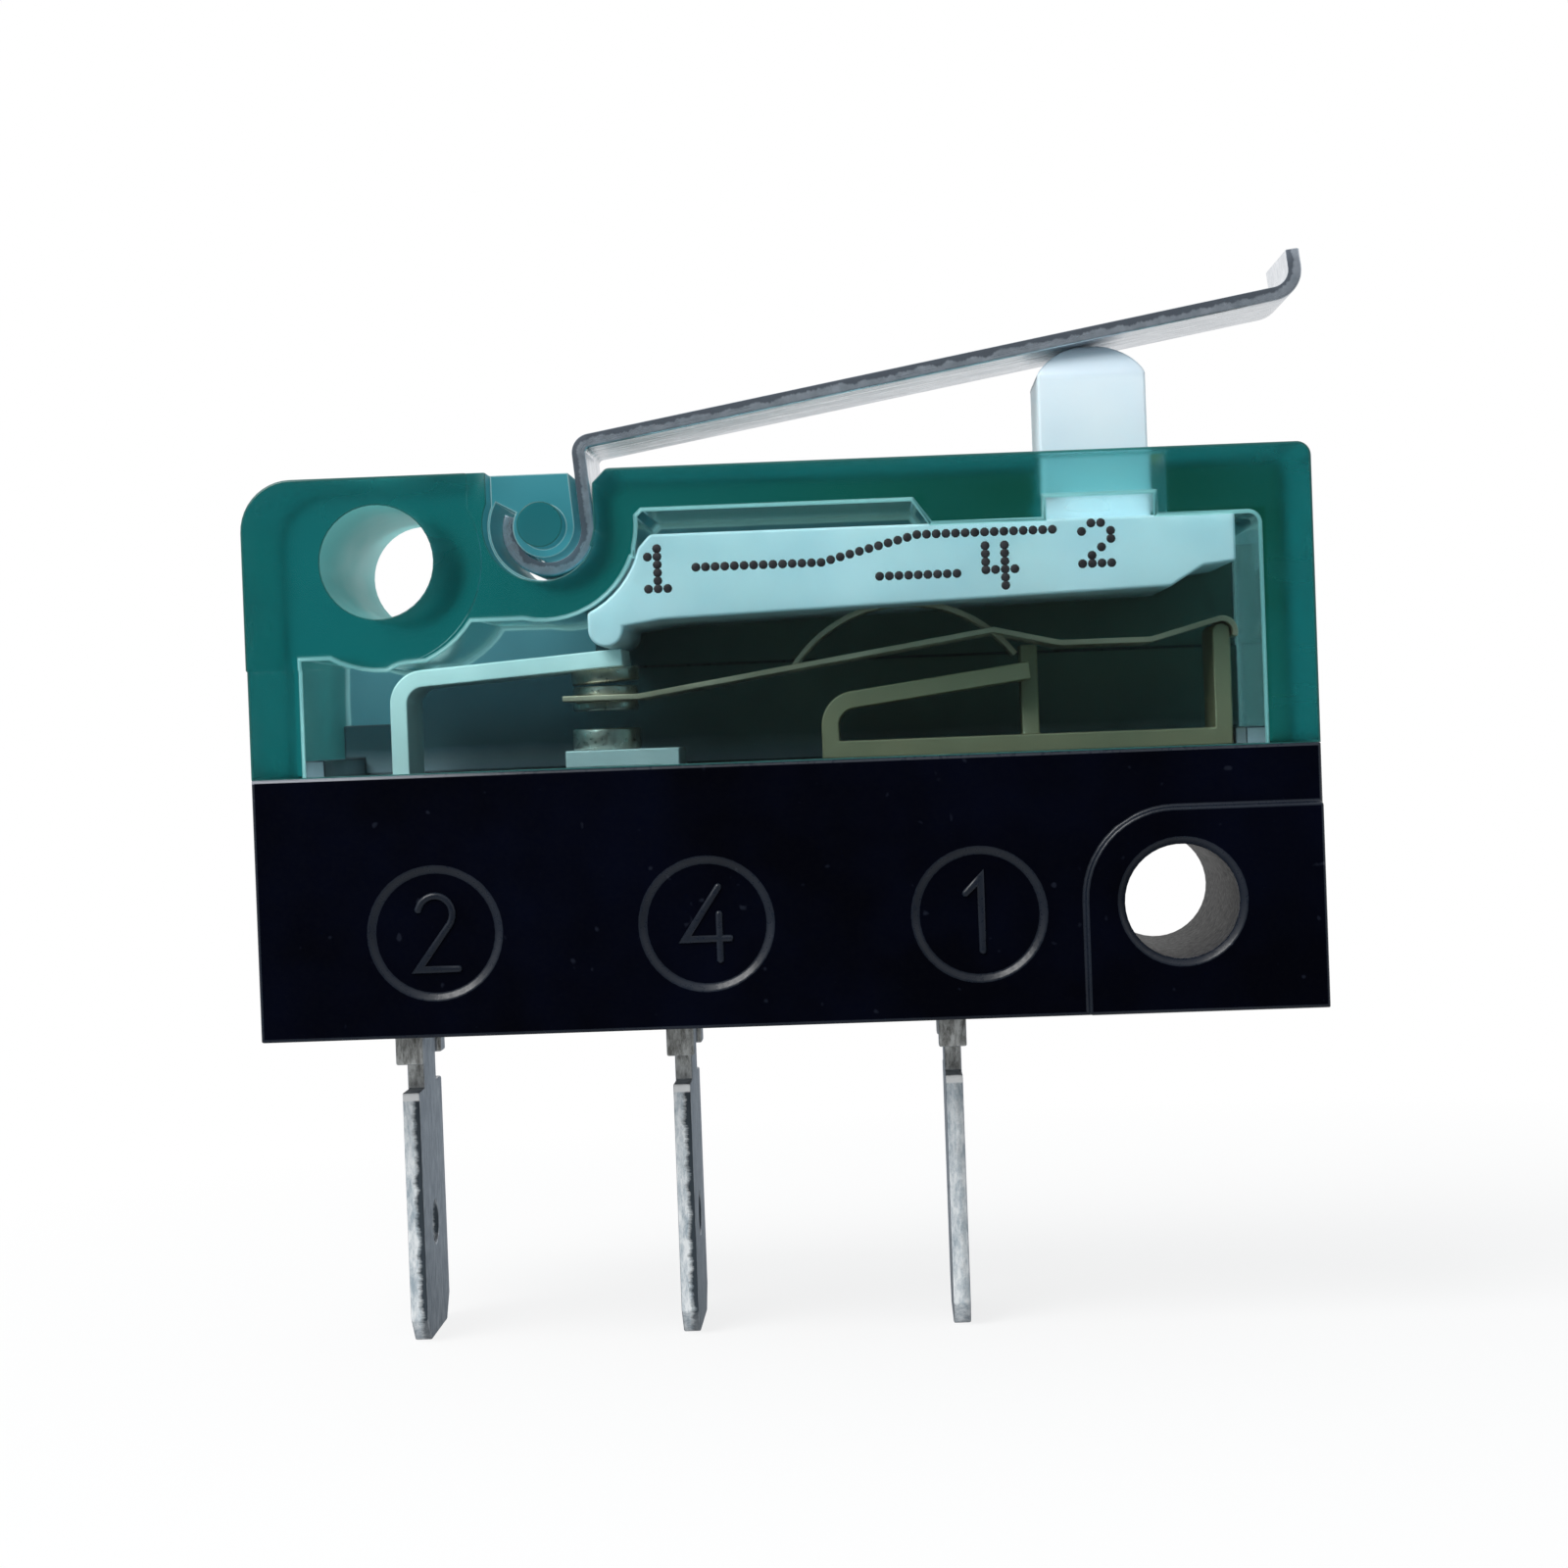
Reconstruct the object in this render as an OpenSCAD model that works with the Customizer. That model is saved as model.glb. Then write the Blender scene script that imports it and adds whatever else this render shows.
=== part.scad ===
// Snap-action micro switch with a hooked lever.
// Origin on the axis of the lower fixing hole, half way through the thickness.
// X runs along the case, Y through its thickness, Z up towards the lever.

/* [Case] */
// Width of the case along X
case_w = 30; // [28.5:0.5:38]
// Height of the case without lever and tabs
case_h = 15.8; // [15.6:0.2:20]
// Thickness of the case over the fixing pads
case_t = 10.3; // [9.6:0.1:14]
// Height of the black base
base_h = 7.4; // [6.6:0.1:9]
// How far a fixing pad stands proud of the face
pad_step = 0.2; // [0.1:0.05:0.4]
// Radius of the upper left corner
corner_r = 1.45; // [0.5:0.05:2]
// Radius of the upper right corner
small_corner_r = 0.4; // [0.2:0.05:1]

/* [Fixing holes] */
// Diameter of both fixing holes
hole_d = 3.2; // [2.6:0.1:3.9]
// Rim chamfer of the lower hole
hole_rim = 0.18; // [0.1:0.02:0.3]
// Lower hole axis from the right side
low_hole_side = 4; // [3.6:0.1:5]
// Lower hole axis above the bottom
low_hole_rise = 3.1; // [2.8:0.1:4]
// Upper hole axis from the left side
high_hole_side = 3.8; // [3.4:0.1:5]
// Upper hole axis below the top
high_hole_drop = 2.4; // [2.2:0.1:3]
// Wall left round the upper hole inside
high_hole_wall = 1.35; // [0.8:0.05:1.6]
// Left edge of the lower pad from the hole axis
low_pad_side = 2.7; // [2.4:0.1:3.5]
// Top edge of the lower pad above the hole axis
low_pad_rise = 2.64; // [2.3:0.1:3.5]
// Right edge of the upper pad from the hole axis
high_pad_side = 2.6; // [2.3:0.1:3]

/* [Housing] */
// Thickness of the window walls
window_wall = 0.8; // [0.5:0.05:1.2]
// Thickness of the end walls
end_wall = 1.35; // [1:0.05:1.8]
// Roof thickness over the foot bar
roof_t = 1.8; // [1.4:0.1:2.2]
// Roof thickness over the left chamber
thin_roof_t = 1.1; // [0.8:0.05:1.3]

/* [Lever] */
// Thickness of the lever strip
strip_t = 0.4; // [0.3:0.02:0.5]
// Width of the lever strip
lever_w = 4.8; // [3.5:0.1:6]
// Radius of the moulded boss in the hook
boss_r = 0.88; // [0.7:0.02:1]
// Hook clearance on the boss
hook_gap = 0.06; // [0.03:0.01:0.1]
// Pivot axis from the left side of the case
pivot_side = 8.4; // [8:0.1:9]
// Pivot axis below the top of the case
pivot_drop = 1.5; // [1.4:0.05:1.8]
// Straight length of the leg between hook and bend
leg_l = 2.05; // [1.8:0.05:2.8]
// Lean of the leg to the left, in degrees
leg_lean = 5; // [2:0.5:7]
// Inside radius of the bend
bend_r = 0.15; // [0.1:0.05:0.4]
// Length of the arm past the plunger
arm_beyond = 5.65; // [4:0.05:8]
// Inside radius of the curled tip
tip_r = 0.5; // [0.4:0.05:0.8]
// Straight end of the curled tip
tip_l = 0.5; // [0.3:0.05:1]

/* [Plunger] */
// Width of the button along X
button_w = 3.1; // [2.6:0.1:3.8]
// Depth of the button along Y
button_t = 4.4; // [3.6:0.1:5.4]
// Button axis from the right side of the case
button_side = 5.85; // [5.4:0.05:6.5]
// Button top above the case
button_rise = 3.25; // [2.6:0.05:4]
// Radius of the domed button top
dome_r = 1.85; // [1.6:0.05:2.6]
// Gap between lever and button at rest
touch_gap = 0.03; // [0.02:0.01:0.05]
// Depth of the foot bar along Y
bar_t = 7; // [6:0.1:7.4]

/* [Terminals] */
// Thickness of the terminal strip
tab_t = 0.5; // [0.4:0.02:0.62]
// Width of a tab
tab_w = 4.75; // [3.8:0.05:5.8]
// Length of a tab below its shoulders
tab_l = 7.3; // [6.3:0.1:9]
// Hole through a tab
tab_hole_d = 1.3; // [1:0.1:1.6]
// First tab from the left side of the case
tab_side = 3.8; // [3.4:0.1:4.5]
// Distance between tabs
tab_pitch = 7.85; // [7.5:0.05:8.1]
// Width of the shank inside the base
shank_w = 3.2; // [2.6:0.1:3.8]

/* [Contacts] */
// Diameter of a fixed contact
contact_d = 2; // [1.6:0.1:2.4]
// Open gap between moving and lower contact
contact_gap = 0.53; // [0.4:0.01:0.7]
// Thickness of the spring blade
blade_t = 0.16; // [0.1:0.02:0.2]
// Width of the spring blade
blade_w = 3.8; // [3:0.1:4.2]

/* [Hidden] */
$fn = 64;
eps = 0.5;

// Outer faces of the case
x_right = low_hole_side;
x_left = x_right - case_w;
z_bottom = -low_hole_rise;
z_joint = z_bottom + base_h;
z_top = z_bottom + case_h;
face_t = case_t - 2 * pad_step;
cavity_t = face_t - 2 * window_wall;

// Fixing holes
hole_r = hole_d / 2;
high_hole = [x_left + high_hole_side, z_top - high_hole_drop];
high_hole_ring = hole_r + high_hole_wall;

// Rim of the base inside the housing
rim_h = 0.5;
rim_t = 0.6;
rim_fit = 0.06;

// Terminals
nc_x = x_left + tab_side;
no_x = nc_x + tab_pitch;
common_x = no_x + tab_pitch;
lug_h = 1;
lug_t = 0.8;
lug_w = 0.85;
neck_h = 0.8;
neck_w = 2.4;
shoulder_z = z_bottom - lug_h - neck_h;
tab_end_z = shoulder_z - tab_l;
tab_tip = 0.7;
tab_hole_rise = 3.2;
slot_fit = 0.03;

// Contacts, stacked up from the floor of the base
contact_side = 9.7;
contact_x = x_left + contact_side;
seat_gap = 0.03;
no_contact_h = 0.62;
moving_contact_h = 0.72;
contact_step = 0.1;
moving_contact_d = contact_d - contact_step;
moving_head_h = (moving_contact_h - blade_t) / 2;
nc_contact_h = 0.4;
rivet_r = 0.45;
rivet_fit = 0.02;
contact_margin = 1.1;
no_contact_z = z_joint + tab_t + no_contact_h;
moving_low_z = no_contact_z + contact_gap;
moving_high_z = moving_low_z + moving_contact_h;
blade_low_z = (moving_low_z + moving_high_z) / 2;

// Arm of the upper fixed contact
nc_slope = 4;
nc_bend_r = 0.5;
nc_arm_past = 0.7;
nc_tilt_room = contact_d / 2 * sin(nc_slope);
nc_under_z = moving_high_z + seat_gap + nc_tilt_room + nc_contact_h;
nc_bend_x = nc_x + tab_t / 2 + nc_bend_r;
nc_bend = [nc_bend_x, nc_under_z - (nc_bend_r + sin(nc_slope) * (contact_x - nc_bend_x)) / cos(nc_slope)];
nc_arm_l = (contact_x + nc_arm_past - nc_bend_x) / cos(nc_slope);
nc_curl = arc(nc_bend, nc_bend_r + tab_t / 2, 180, 90 + nc_slope);
nc_path = concat([[nc_x, z_joint]], nc_curl,
                 [nc_curl[len(nc_curl) - 1] + nc_arm_l * [cos(nc_slope), sin(nc_slope)]]);

// Lever hook and boss
pivot = [x_left + pivot_side, z_top - pivot_drop];
hook_r = boss_r + hook_gap;
hook_end = 158;
lever_slot_room = 0.18;
lever_slot_r = hook_r + strip_t + lever_slot_room;
lever_slot_swing = 7;
lever_slot_end = hook_end - lever_slot_swing;
slot_wall = 1.08;
boss_ring = lever_slot_r + slot_wall;
pocket_step = 0.08;
pocket_r = lever_slot_r + pocket_step;
pocket_depth = 1.2;
pocket_start = 145;
pocket_end = 335;
pocket_inset = 0.13;
stub_step = 0.24;
stub_r = boss_r - stub_step;
notch = 0.4;
notch_drop = 0.2;

// Plunger: the nose turns on the arm of the upper fixed contact
nose_r = 0.5;
nose_past = 0.35;
nose_h = 0.6;
nose_l = 1.6;
nose = [contact_x + nose_past,
        nc_under_z + (tab_t + nose_past * sin(nc_slope)) / cos(nc_slope) + seat_gap + nose_r];
button_x = x_right - button_side;
button_z = z_top + button_rise;
dome = [button_x, button_z - dome_r];
roof_z = z_top - roof_t;
thin_roof_z = z_top - thin_roof_t;
bar_top_z = roof_z - seat_gap;
bar_end_room = 0.7;
bar_right = x_right - end_wall - bar_end_room;
bar_low_rise = 0.22;
bar_low_z = nose.y + bar_low_rise;
bar_rise = 0.4;
bar_heel = 1.85;
bar_heel_rise = 0.55;
bar_heel_slope = 0.1;
bar_shoulder = 0.4;
bar_fit = 0.15;
button_fit = 0.06;
button_swing = 0.4;
button_edge = 1;
guide_t = 1.15;
guide_room = 0.05;

// Lever path: hook, leg, bend and an arm whose underside lies on the dome
leg_dir = 90 + leg_lean;
leg_start = pivot + (hook_r + strip_t / 2) * [cos(leg_lean), sin(leg_lean)];
leg_end = leg_start + leg_l * [cos(leg_dir), sin(leg_dir)];
bend = leg_end + (bend_r + strip_t / 2) * [sin(leg_dir), -cos(leg_dir)];
dome_run = norm(dome - bend);
arm_rise = atan2(dome.y - bend.y, dome.x - bend.x) + asin((dome_r + touch_gap - bend_r) / dome_run);
arm_l = dome_run + arm_beyond;
arm_dir = [cos(arm_rise), sin(arm_rise)];
arm_up = [-sin(arm_rise), cos(arm_rise)];
tip_mid_r = tip_r + strip_t / 2;
tip_centre = bend + arm_l * arm_dir + (bend_r + strip_t + tip_r) * arm_up;
tip_turn = 87;
tip_end = arm_rise + tip_turn;
lever_curls = concat(arc(pivot, hook_r + strip_t / 2, hook_end, 360 + leg_lean, 48),
                     arc(bend, bend_r + strip_t / 2, 180 + leg_lean, 90 + arm_rise, 12),
                     arc(tip_centre, tip_mid_r, arm_rise - 90, tip_end - 90));
lever_path = concat(lever_curls, [lever_curls[len(lever_curls) - 1] + tip_l * [cos(tip_end), sin(tip_end)]]);

// Window cavity of the housing
cavity_left = x_left + end_wall;
cavity_right = x_right - end_wall;
low_roof_room = 0.45;
arm_room = 0.25;
low_roof_z = nc_bend.y + nc_bend_r + tab_t + low_roof_room;
mid_roof_room = 1;
mid_roof_z = nc_under_z + tab_t + mid_roof_room;
mid_roof_side = 1.3;
boss_roof_drop = 0.9;
chamber_lap = 0.1;
chamber_side = pivot.x + boss_ring - chamber_lap;
chamber_edge = 0.3;
step_side = 3.2;
step_l = 0.5;
cavity_step = button_x - button_w / 2 - step_side;

// Spring blade path, from its curl over the common post to the moving contact
anchor_gap = 0.09;
anchor_rise = 3.25;
anchor = [cavity_right - rim_fit - rim_t - anchor_gap - tab_t / 2, z_joint + anchor_rise];
curl_gap = 0.05;
curl_r = tab_t / 2 + curl_gap;
curl_mid = curl_r + blade_t / 2;
curl_start = 105;
curl_end = -20;
blade_curl = arc(anchor, curl_mid, curl_end, curl_start);
curl_point = blade_curl[len(blade_curl) - 1];
blade_dip = 0.15;
blade_dip_z = anchor.y - blade_dip;
blade_flat_l = 4.65;
blade_step_l = 1.9;
blade_step_h = 0.45;
blade_run = [[curl_point.x - (curl_point.y - blade_dip_z) / tan(curl_start - 90), blade_dip_z],
             [anchor.x - blade_flat_l, blade_dip_z],
             [anchor.x - blade_flat_l - blade_step_l, blade_dip_z + blade_step_h],
             [contact_x + contact_margin, blade_low_z],
             [contact_x - contact_margin, blade_low_z]];
blade_slope = (blade_run[2].y - blade_run[3].y) / (blade_run[2].x - blade_run[3].x);

// Bow spring between the blade's window and the common tang
bow_w = 1.4;
bow_sag = 1.7;
bow_side = 5.55;
bow_left_x = contact_x + bow_side;
bow_left = [bow_left_x, blade_low_z + (bow_left_x - blade_run[3].x) * blade_slope];
bow_reach = 5.9;
bow_drop = 0.4;
bow_right = [anchor.x - bow_reach, anchor.y - bow_drop];
bow_chord = norm(bow_right - bow_left);
bow_r = (bow_chord * bow_chord / 4 + bow_sag * bow_sag) / (2 * bow_sag);
bow_dir = atan2(bow_right.y - bow_left.y, bow_right.x - bow_left.x);
bow_half = asin(bow_chord / 2 / bow_r);
bow_mid = (bow_left + bow_right) / 2 - (bow_r - bow_sag) * [-sin(bow_dir), cos(bow_dir)];
bow_top_z = bow_mid.y + bow_r + blade_t / 2;
groove_room = 0.25;
groove_over = 0.5;
bow_seat_gap = 0.13;
tang_x = bow_right.x + bow_seat_gap;
tang_over = 0.25;
tang_top_z = bow_right.y + tang_over;
seat_slope = 7.3;
seat_drop = 0.5;
seat = [tang_x + tab_t / 2, bow_right.y - seat_drop];
seat_leg_side = 3.2;
seat_leg_x = common_x - seat_leg_side;
seat_bend_r = nc_bend_r + tab_t / 2;
seat_bend_x = seat_leg_x + seat_bend_r;
seat_bend = [seat_bend_x, seat.y - (seat_bend_r + sin(seat_slope) * (seat.x - seat_bend_x)) / cos(seat_slope)];
seat_path = concat([[seat_leg_x, z_joint]], arc(seat_bend, seat_bend_r, 180, 90 + seat_slope), [seat]);
window_room = 0.25;
blade_window_w = bow_w + 2 * window_room;
blade_window = [bow_left_x - curl_gap, tang_x + tab_t + window_room];

// Base details
back_wall_t = 0.9;
back_wall_over = 0.1;
back_wall_z = nc_under_z + back_wall_over;
low_wall_h = 1.5;
high_wall_room = 0.08;
high_wall_over = 1.85;
high_wall_z = bar_low_z + high_wall_over;
high_wall_left = nose.x - nose_r - bar_shoulder;
ring_r = 1.72;
ring_wall = 0.16;
ring_depth = 0.12;
ring_side = 5.03;
ring_rise = 2.93;
ring_pitch = 7.65;
pad_lap = 0.1;

// A profile in X and Z, drawn out evenly to both sides of the middle plane
module slab(depth) {
    rotate([90, 0, 0]) linear_extrude(depth, center = true) children();
}

// A profile in X and Z, drawn out between two planes
module slab_between(y_low, y_high) {
    translate([0, y_high, 0]) rotate([90, 0, 0]) linear_extrude(y_high - y_low) children();
}

// A profile in Y and Z, drawn out evenly along X about x
module cross_slab(x, thickness) {
    translate([x - thickness / 2, 0, 0]) rotate([90, 0, 90]) linear_extrude(thickness) children();
}

// A rectangle between two corners
module rect(low, high) {
    translate(low) square(high - low);
}

// Part of a flat ring between two angles
module ring_sector(r_in, r_out, a_low, a_high) {
    reach = 2 * r_out;
    steps = 12;
    turn = (a_high - a_low) / steps;
    intersection() {
        difference() {
            circle(r_out);
            circle(r_in);
        }
        polygon(concat([[0, 0]],
                       [for (a = [for (i = [0:steps]) a_low + i * turn]) reach * [cos(a), sin(a)]]));
    }
}

// Points along an arc
function arc(centre, r, a_from, a_to, steps = 24) =
    [for (i = [0:steps]) let (a = a_from + (a_to - a_from) * i / steps) centre + r * [cos(a), sin(a)]];

// Unit vector on the left of the run from p to q
function left_of(p, q) = [p.y - q.y, q.x - p.x] / norm(q - p);

// One side of a strip along a path, mitred at every point
function strip_side(path, offset) =
    let (last = len(path) - 1)
    [for (i = [0:last])
        let (before = left_of(path[max(i - 1, 0)], path[max(i, 1)]),
             after = left_of(path[min(i, last - 1)], path[min(i + 1, last)]),
             mid = before + after)
        path[i] + 2 * offset * mid / (mid * mid)];

// Bent strip of even thickness along a path
module bent_strip(path, thickness) {
    back = strip_side(path, -thickness / 2);
    polygon(concat(strip_side(path, thickness / 2), [for (i = [len(back) - 1:-1:0]) back[i]]));
}

// Case outline with its two upper corners rounded
module case_outline() {
    difference() {
        rect([x_left, z_bottom], [x_right, z_top]);
        corner_waste([x_left, z_top], corner_r, [1, -1]);
        corner_waste([x_right, z_top], small_corner_r, [-1, -1]);
    }
}

// What a rounded corner takes away; toward points from the corner into the body
module corner_waste(corner, r, toward) {
    reach = 2 * r;
    difference() {
        translate(corner) square(reach, center = true);
        translate(corner + r * toward) {
            circle(r);
            rect([min(0, reach * toward.x), -reach], [max(0, reach * toward.x), reach]);
            rect([-reach, min(0, reach * toward.y)], [reach, max(0, reach * toward.y)]);
        }
    }
}

module housing_outline() {
    intersection() {
        case_outline();
        rect([x_left, z_joint], [x_right, z_top + eps]);
    }
}

// Raised pad round the upper hole, bounded by the ring of wall round the hole
module high_pad() {
    intersection() {
        housing_outline();
        union() {
            translate(high_hole) circle(high_hole_ring);
            rect([x_left, high_hole.y], [high_hole.x + high_pad_side, z_top]);
            rect([x_left, high_hole.y - high_hole_ring], [high_hole.x, z_top]);
        }
    }
}

// Hollow behind the windows, stepped round the upper hole and the lever boss,
// and always clear of the arm and the back wall that reach under the hole
module cavity_outline() {
    difference() {
        union() {
            rect([cavity_left, z_joint - eps], [cavity_right, low_roof_z]);
            rect([high_hole.x + mid_roof_side, z_joint - eps], [cavity_right, mid_roof_z]);
            rect([pivot.x, z_joint - eps], [cavity_right, pivot.y - boss_roof_drop]);
            rect([chamber_side, z_joint - eps], [cavity_right, roof_z]);
            rect([button_x - button_w / 2 - button_fit - guide_room, roof_z - eps],
                 [button_x + button_w / 2 + guide_room, z_top - guide_t]);
            polygon([[chamber_side, roof_z - eps],
                     [chamber_side, thin_roof_z - chamber_edge],
                     [chamber_side + chamber_edge, thin_roof_z],
                     [cavity_step - step_l, thin_roof_z],
                     [cavity_step, roof_z],
                     [cavity_step, roof_z - eps]]);
        }
        translate(high_hole) circle(high_hole_ring);
        translate(pivot) circle(boss_ring);
        corner_waste([cavity_right, roof_z], small_corner_r, [-1, -1]);
    }
    rect([cavity_left, z_joint - eps], [cavity_right, back_wall_z + rim_fit]);
    bent_strip(nc_path, tab_t + 2 * arm_room);
}

// J-shaped slot for the hook, open at the top beside the boss
module lever_slot() {
    wall = pivot + boss_r * [cos(leg_lean), sin(leg_lean)];
    climb = (pivot_drop + eps) / sin(leg_dir);
    translate(pivot) ring_sector(boss_r, lever_slot_r, lever_slot_end, 360 + leg_lean);
    polygon([wall,
             wall + climb * [cos(leg_dir), sin(leg_dir)],
             [pivot.x + lever_slot_r + notch + eps, z_top + eps],
             [pivot.x + lever_slot_r, z_top - notch],
             [pivot.x + lever_slot_r, pivot.y],
             [pivot.x + lever_slot_r, pivot.y - notch_drop]]);
}

// Recess in a face over the hook, open at the top, with a stub of the boss left standing
module hook_pocket() {
    translate(pivot) difference() {
        union() {
            ring_sector(hook_r, pocket_r, pocket_start, pocket_end);
            circle(hook_r + pocket_step);
            rect([pocket_inset - pocket_r, 0], [hook_r, pivot_drop + eps]);
        }
        circle(stub_r);
    }
}

// Upper half of the case, clear green
module housing() {
    color([0.02, 0.38, 0.36, 0.6])
    difference() {
        union() {
            slab(face_t) housing_outline();
            slab(case_t) high_pad();
        }
        slab(cavity_t) cavity_outline();
        slab(case_t + eps) lever_slot();
        slab_between(-face_t / 2 - eps, pocket_depth - face_t / 2) hook_pocket();
        slab_between(face_t / 2 - pocket_depth, face_t / 2 + eps) hook_pocket();
        translate([high_hole.x, 0, high_hole.y]) rotate([90, 0, 0])
            cylinder(r = hole_r, h = case_t + eps, center = true);
        slab(button_t + 2 * button_fit)
            rect([button_x - button_w / 2 - button_fit, roof_z - eps],
                 [button_x + button_w / 2 + button_swing, z_top + eps]);
    }
}

// Outline of the raised pad round the lower hole
module low_pad() {
    pad_r = low_pad_rise - pad_lap;
    intersection() {
        case_outline();
        union() {
            rect([-low_pad_side, z_bottom], [x_right, low_pad_rise - pad_r]);
            rect([-low_pad_side + pad_r, z_bottom], [x_right, low_pad_rise]);
            translate([-low_pad_side + pad_r, low_pad_rise - pad_r]) circle(pad_r);
        }
    }
}

// Rim and back wall that stand up into the housing; the wall is low beside terminal 2,
// and thin and tall behind the foot bar
module upstand() {
    half_t = cavity_t / 2 - rim_fit;
    slab_between(bar_t / 2 + high_wall_room, half_t) high_wall_outline();
    slab_between(half_t - back_wall_t, half_t) {
        rect([cavity_left + rim_fit, z_joint], [cavity_right - rim_fit, z_joint + low_wall_h]);
        rect([nc_x, z_joint], [cavity_right - rim_fit, back_wall_z]);
    }
    slab_between(-half_t, half_t) {
        rect([cavity_left + rim_fit, z_joint], [cavity_left + rim_fit + rim_t, z_joint + rim_h]);
        rect([cavity_right - rim_fit - rim_t, z_joint], [cavity_right - rim_fit, z_joint + rim_h]);
    }
}

// Thin part of the back wall, cut back round the lever boss
module high_wall_outline() {
    difference() {
        rect([high_wall_left, z_joint], [cavity_right - rim_fit, high_wall_z]);
        translate(pivot) circle(boss_ring + rim_fit);
    }
}

// Lower half of the case, black
module base() {
    color([0.015, 0.018, 0.03])
    difference() {
        union() {
            slab(face_t) rect([x_left, z_bottom], [x_right, z_joint]);
            slab(case_t) low_pad();
            upstand();
        }
        rotate([90, 0, 0]) cylinder(r = hole_r, h = case_t + eps, center = true);
        for (side = [-1, 1]) {
            translate([0, side * case_t / 2, 0]) rotate([side * 90, 0, 0]) hole_rim_cut();
            for (i = [0:2])
                translate([x_left + ring_side + i * ring_pitch, side * face_t / 2, z_bottom + ring_rise])
                    rotate([side * 90, 0, 0]) ring_cut();
        }
        for (x = [nc_x, no_x, common_x])
            cross_slab(x, tab_t + 2 * slot_fit)
                rect([-shank_w / 2 - slot_fit, z_bottom - eps], [shank_w / 2 + slot_fit, z_joint + eps]);
    }
}

// Chamfer at a mouth of the lower hole, its small end pointing along +Z
module hole_rim_cut() {
    translate([0, 0, -hole_rim]) cylinder(r1 = hole_r + 2 * hole_rim, r2 = hole_r, h = 2 * hole_rim);
}

// Shallow number circle with a sloping wall, its floor towards +Z
module ring_cut() {
    translate([0, 0, -ring_depth])
        cylinder(r1 = ring_r + 2 * ring_wall, r2 = ring_r, h = 2 * ring_depth);
}

// Foot bar with its nose, cut back round the lever boss
module bar_outline() {
    difference() {
        union() {
            polygon([[nose.x, nose.y],
                     [nose.x + nose_l, bar_low_z],
                     [bar_right - bar_heel, bar_low_z + bar_rise],
                     [bar_right - bar_heel / 2, bar_low_z + bar_rise + bar_heel_rise],
                     [bar_right, bar_low_z + bar_rise + bar_heel_rise + bar_heel_slope],
                     [bar_right, bar_top_z],
                     [pivot.x + boss_ring + bar_shoulder, bar_top_z],
                     [nose.x - nose_r, nose.y + nose_h],
                     [nose.x - nose_r, nose.y]]);
            translate(nose) circle(nose_r);
        }
        translate(pivot) circle(boss_ring + bar_fit);
    }
}

// Button profile along X, domed on top
module button_outline() {
    intersection() {
        rect([button_x - button_w / 2, bar_top_z - eps], [button_x + button_w / 2, button_z]);
        union() {
            translate(dome) circle(dome_r);
            rect([button_x - button_w / 2, bar_top_z - eps], [button_x + button_w / 2, dome.y]);
        }
    }
}

// Button profile along Y, its upper edges rounded
module button_side_outline() {
    difference() {
        rect([-button_t / 2, bar_top_z - eps], [button_t / 2, button_z + eps]);
        corner_waste([button_t / 2, button_z], button_edge, [-1, -1]);
        corner_waste([-button_t / 2, button_z], button_edge, [1, -1]);
    }
}

// White button and foot bar, one moulding, with a groove under the bar for the bow spring
module plunger() {
    color([0.8, 0.92, 0.95, 0.9]) {
        difference() {
            slab(bar_t) bar_outline();
            slab(bow_w + 2 * groove_room)
                rect([bow_left.x, nose.y], [bow_right.x, bow_top_z + groove_over]);
        }
        intersection() {
            slab(button_t) button_outline();
            cross_slab(button_x, 2 * button_w) button_side_outline();
        }
    }
}

// Steel lever
module lever() {
    color([0.45, 0.48, 0.5]) slab(lever_w) bent_strip(lever_path, strip_t);
}

// Tab, shoulders, locking lugs and shank that every terminal has
module terminal_leg(x, top_z) {
    difference() {
        cross_slab(x, tab_t)
            polygon([[-tab_w / 2, shoulder_z],
                     [-tab_w / 2, tab_end_z + tab_tip],
                     [tab_tip - tab_w / 2, tab_end_z],
                     [tab_w / 2 - tab_tip, tab_end_z],
                     [tab_w / 2, tab_end_z + tab_tip],
                     [tab_w / 2, shoulder_z]]);
        translate([x, 0, tab_end_z + tab_hole_rise])
            rotate([0, 90, 0]) cylinder(d = tab_hole_d, h = 2 * tab_t, center = true);
    }
    cross_slab(x, tab_t) {
        rect([-neck_w / 2, shoulder_z - eps], [neck_w / 2, z_bottom]);
        rect([-tab_w / 2, z_bottom - lug_h], [tab_w / 2, z_bottom]);
        rect([-shank_w / 2, z_bottom - eps], [shank_w / 2, top_z]);
    }
    for (side = [-1, 1])
        cross_slab(x, lug_t)
            translate([side * (tab_w - lug_w) / 2 - lug_w / 2, z_bottom - lug_h]) square([lug_w, lug_h]);
}

// Terminal 2, its arm bent over to the upper fixed contact
module nc_terminal() {
    color([0.75, 0.78, 0.8])
    difference() {
        union() {
            terminal_leg(nc_x, z_joint + tab_t);
            slab(shank_w) bent_strip(nc_path, tab_t);
        }
        on_nc_arm() cylinder(r = rivet_r + rivet_fit, h = 4 * tab_t, center = true);
    }
}

// Puts a part at the upper fixed contact, with Z square to the arm
module on_nc_arm() {
    translate([contact_x, 0, nc_under_z]) rotate([0, -nc_slope, 0]) children();
}

// Terminal 4, its foot on the floor under the moving contact
module no_terminal() {
    color([0.75, 0.78, 0.8])
    difference() {
        union() {
            terminal_leg(no_x, z_joint + tab_t);
            slab(shank_w) rect([contact_x - contact_margin, z_joint], [no_x + tab_t / 2, z_joint + tab_t]);
        }
        translate([contact_x, 0, z_joint]) cylinder(r = rivet_r + rivet_fit, h = 4 * tab_t, center = true);
    }
}

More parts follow.
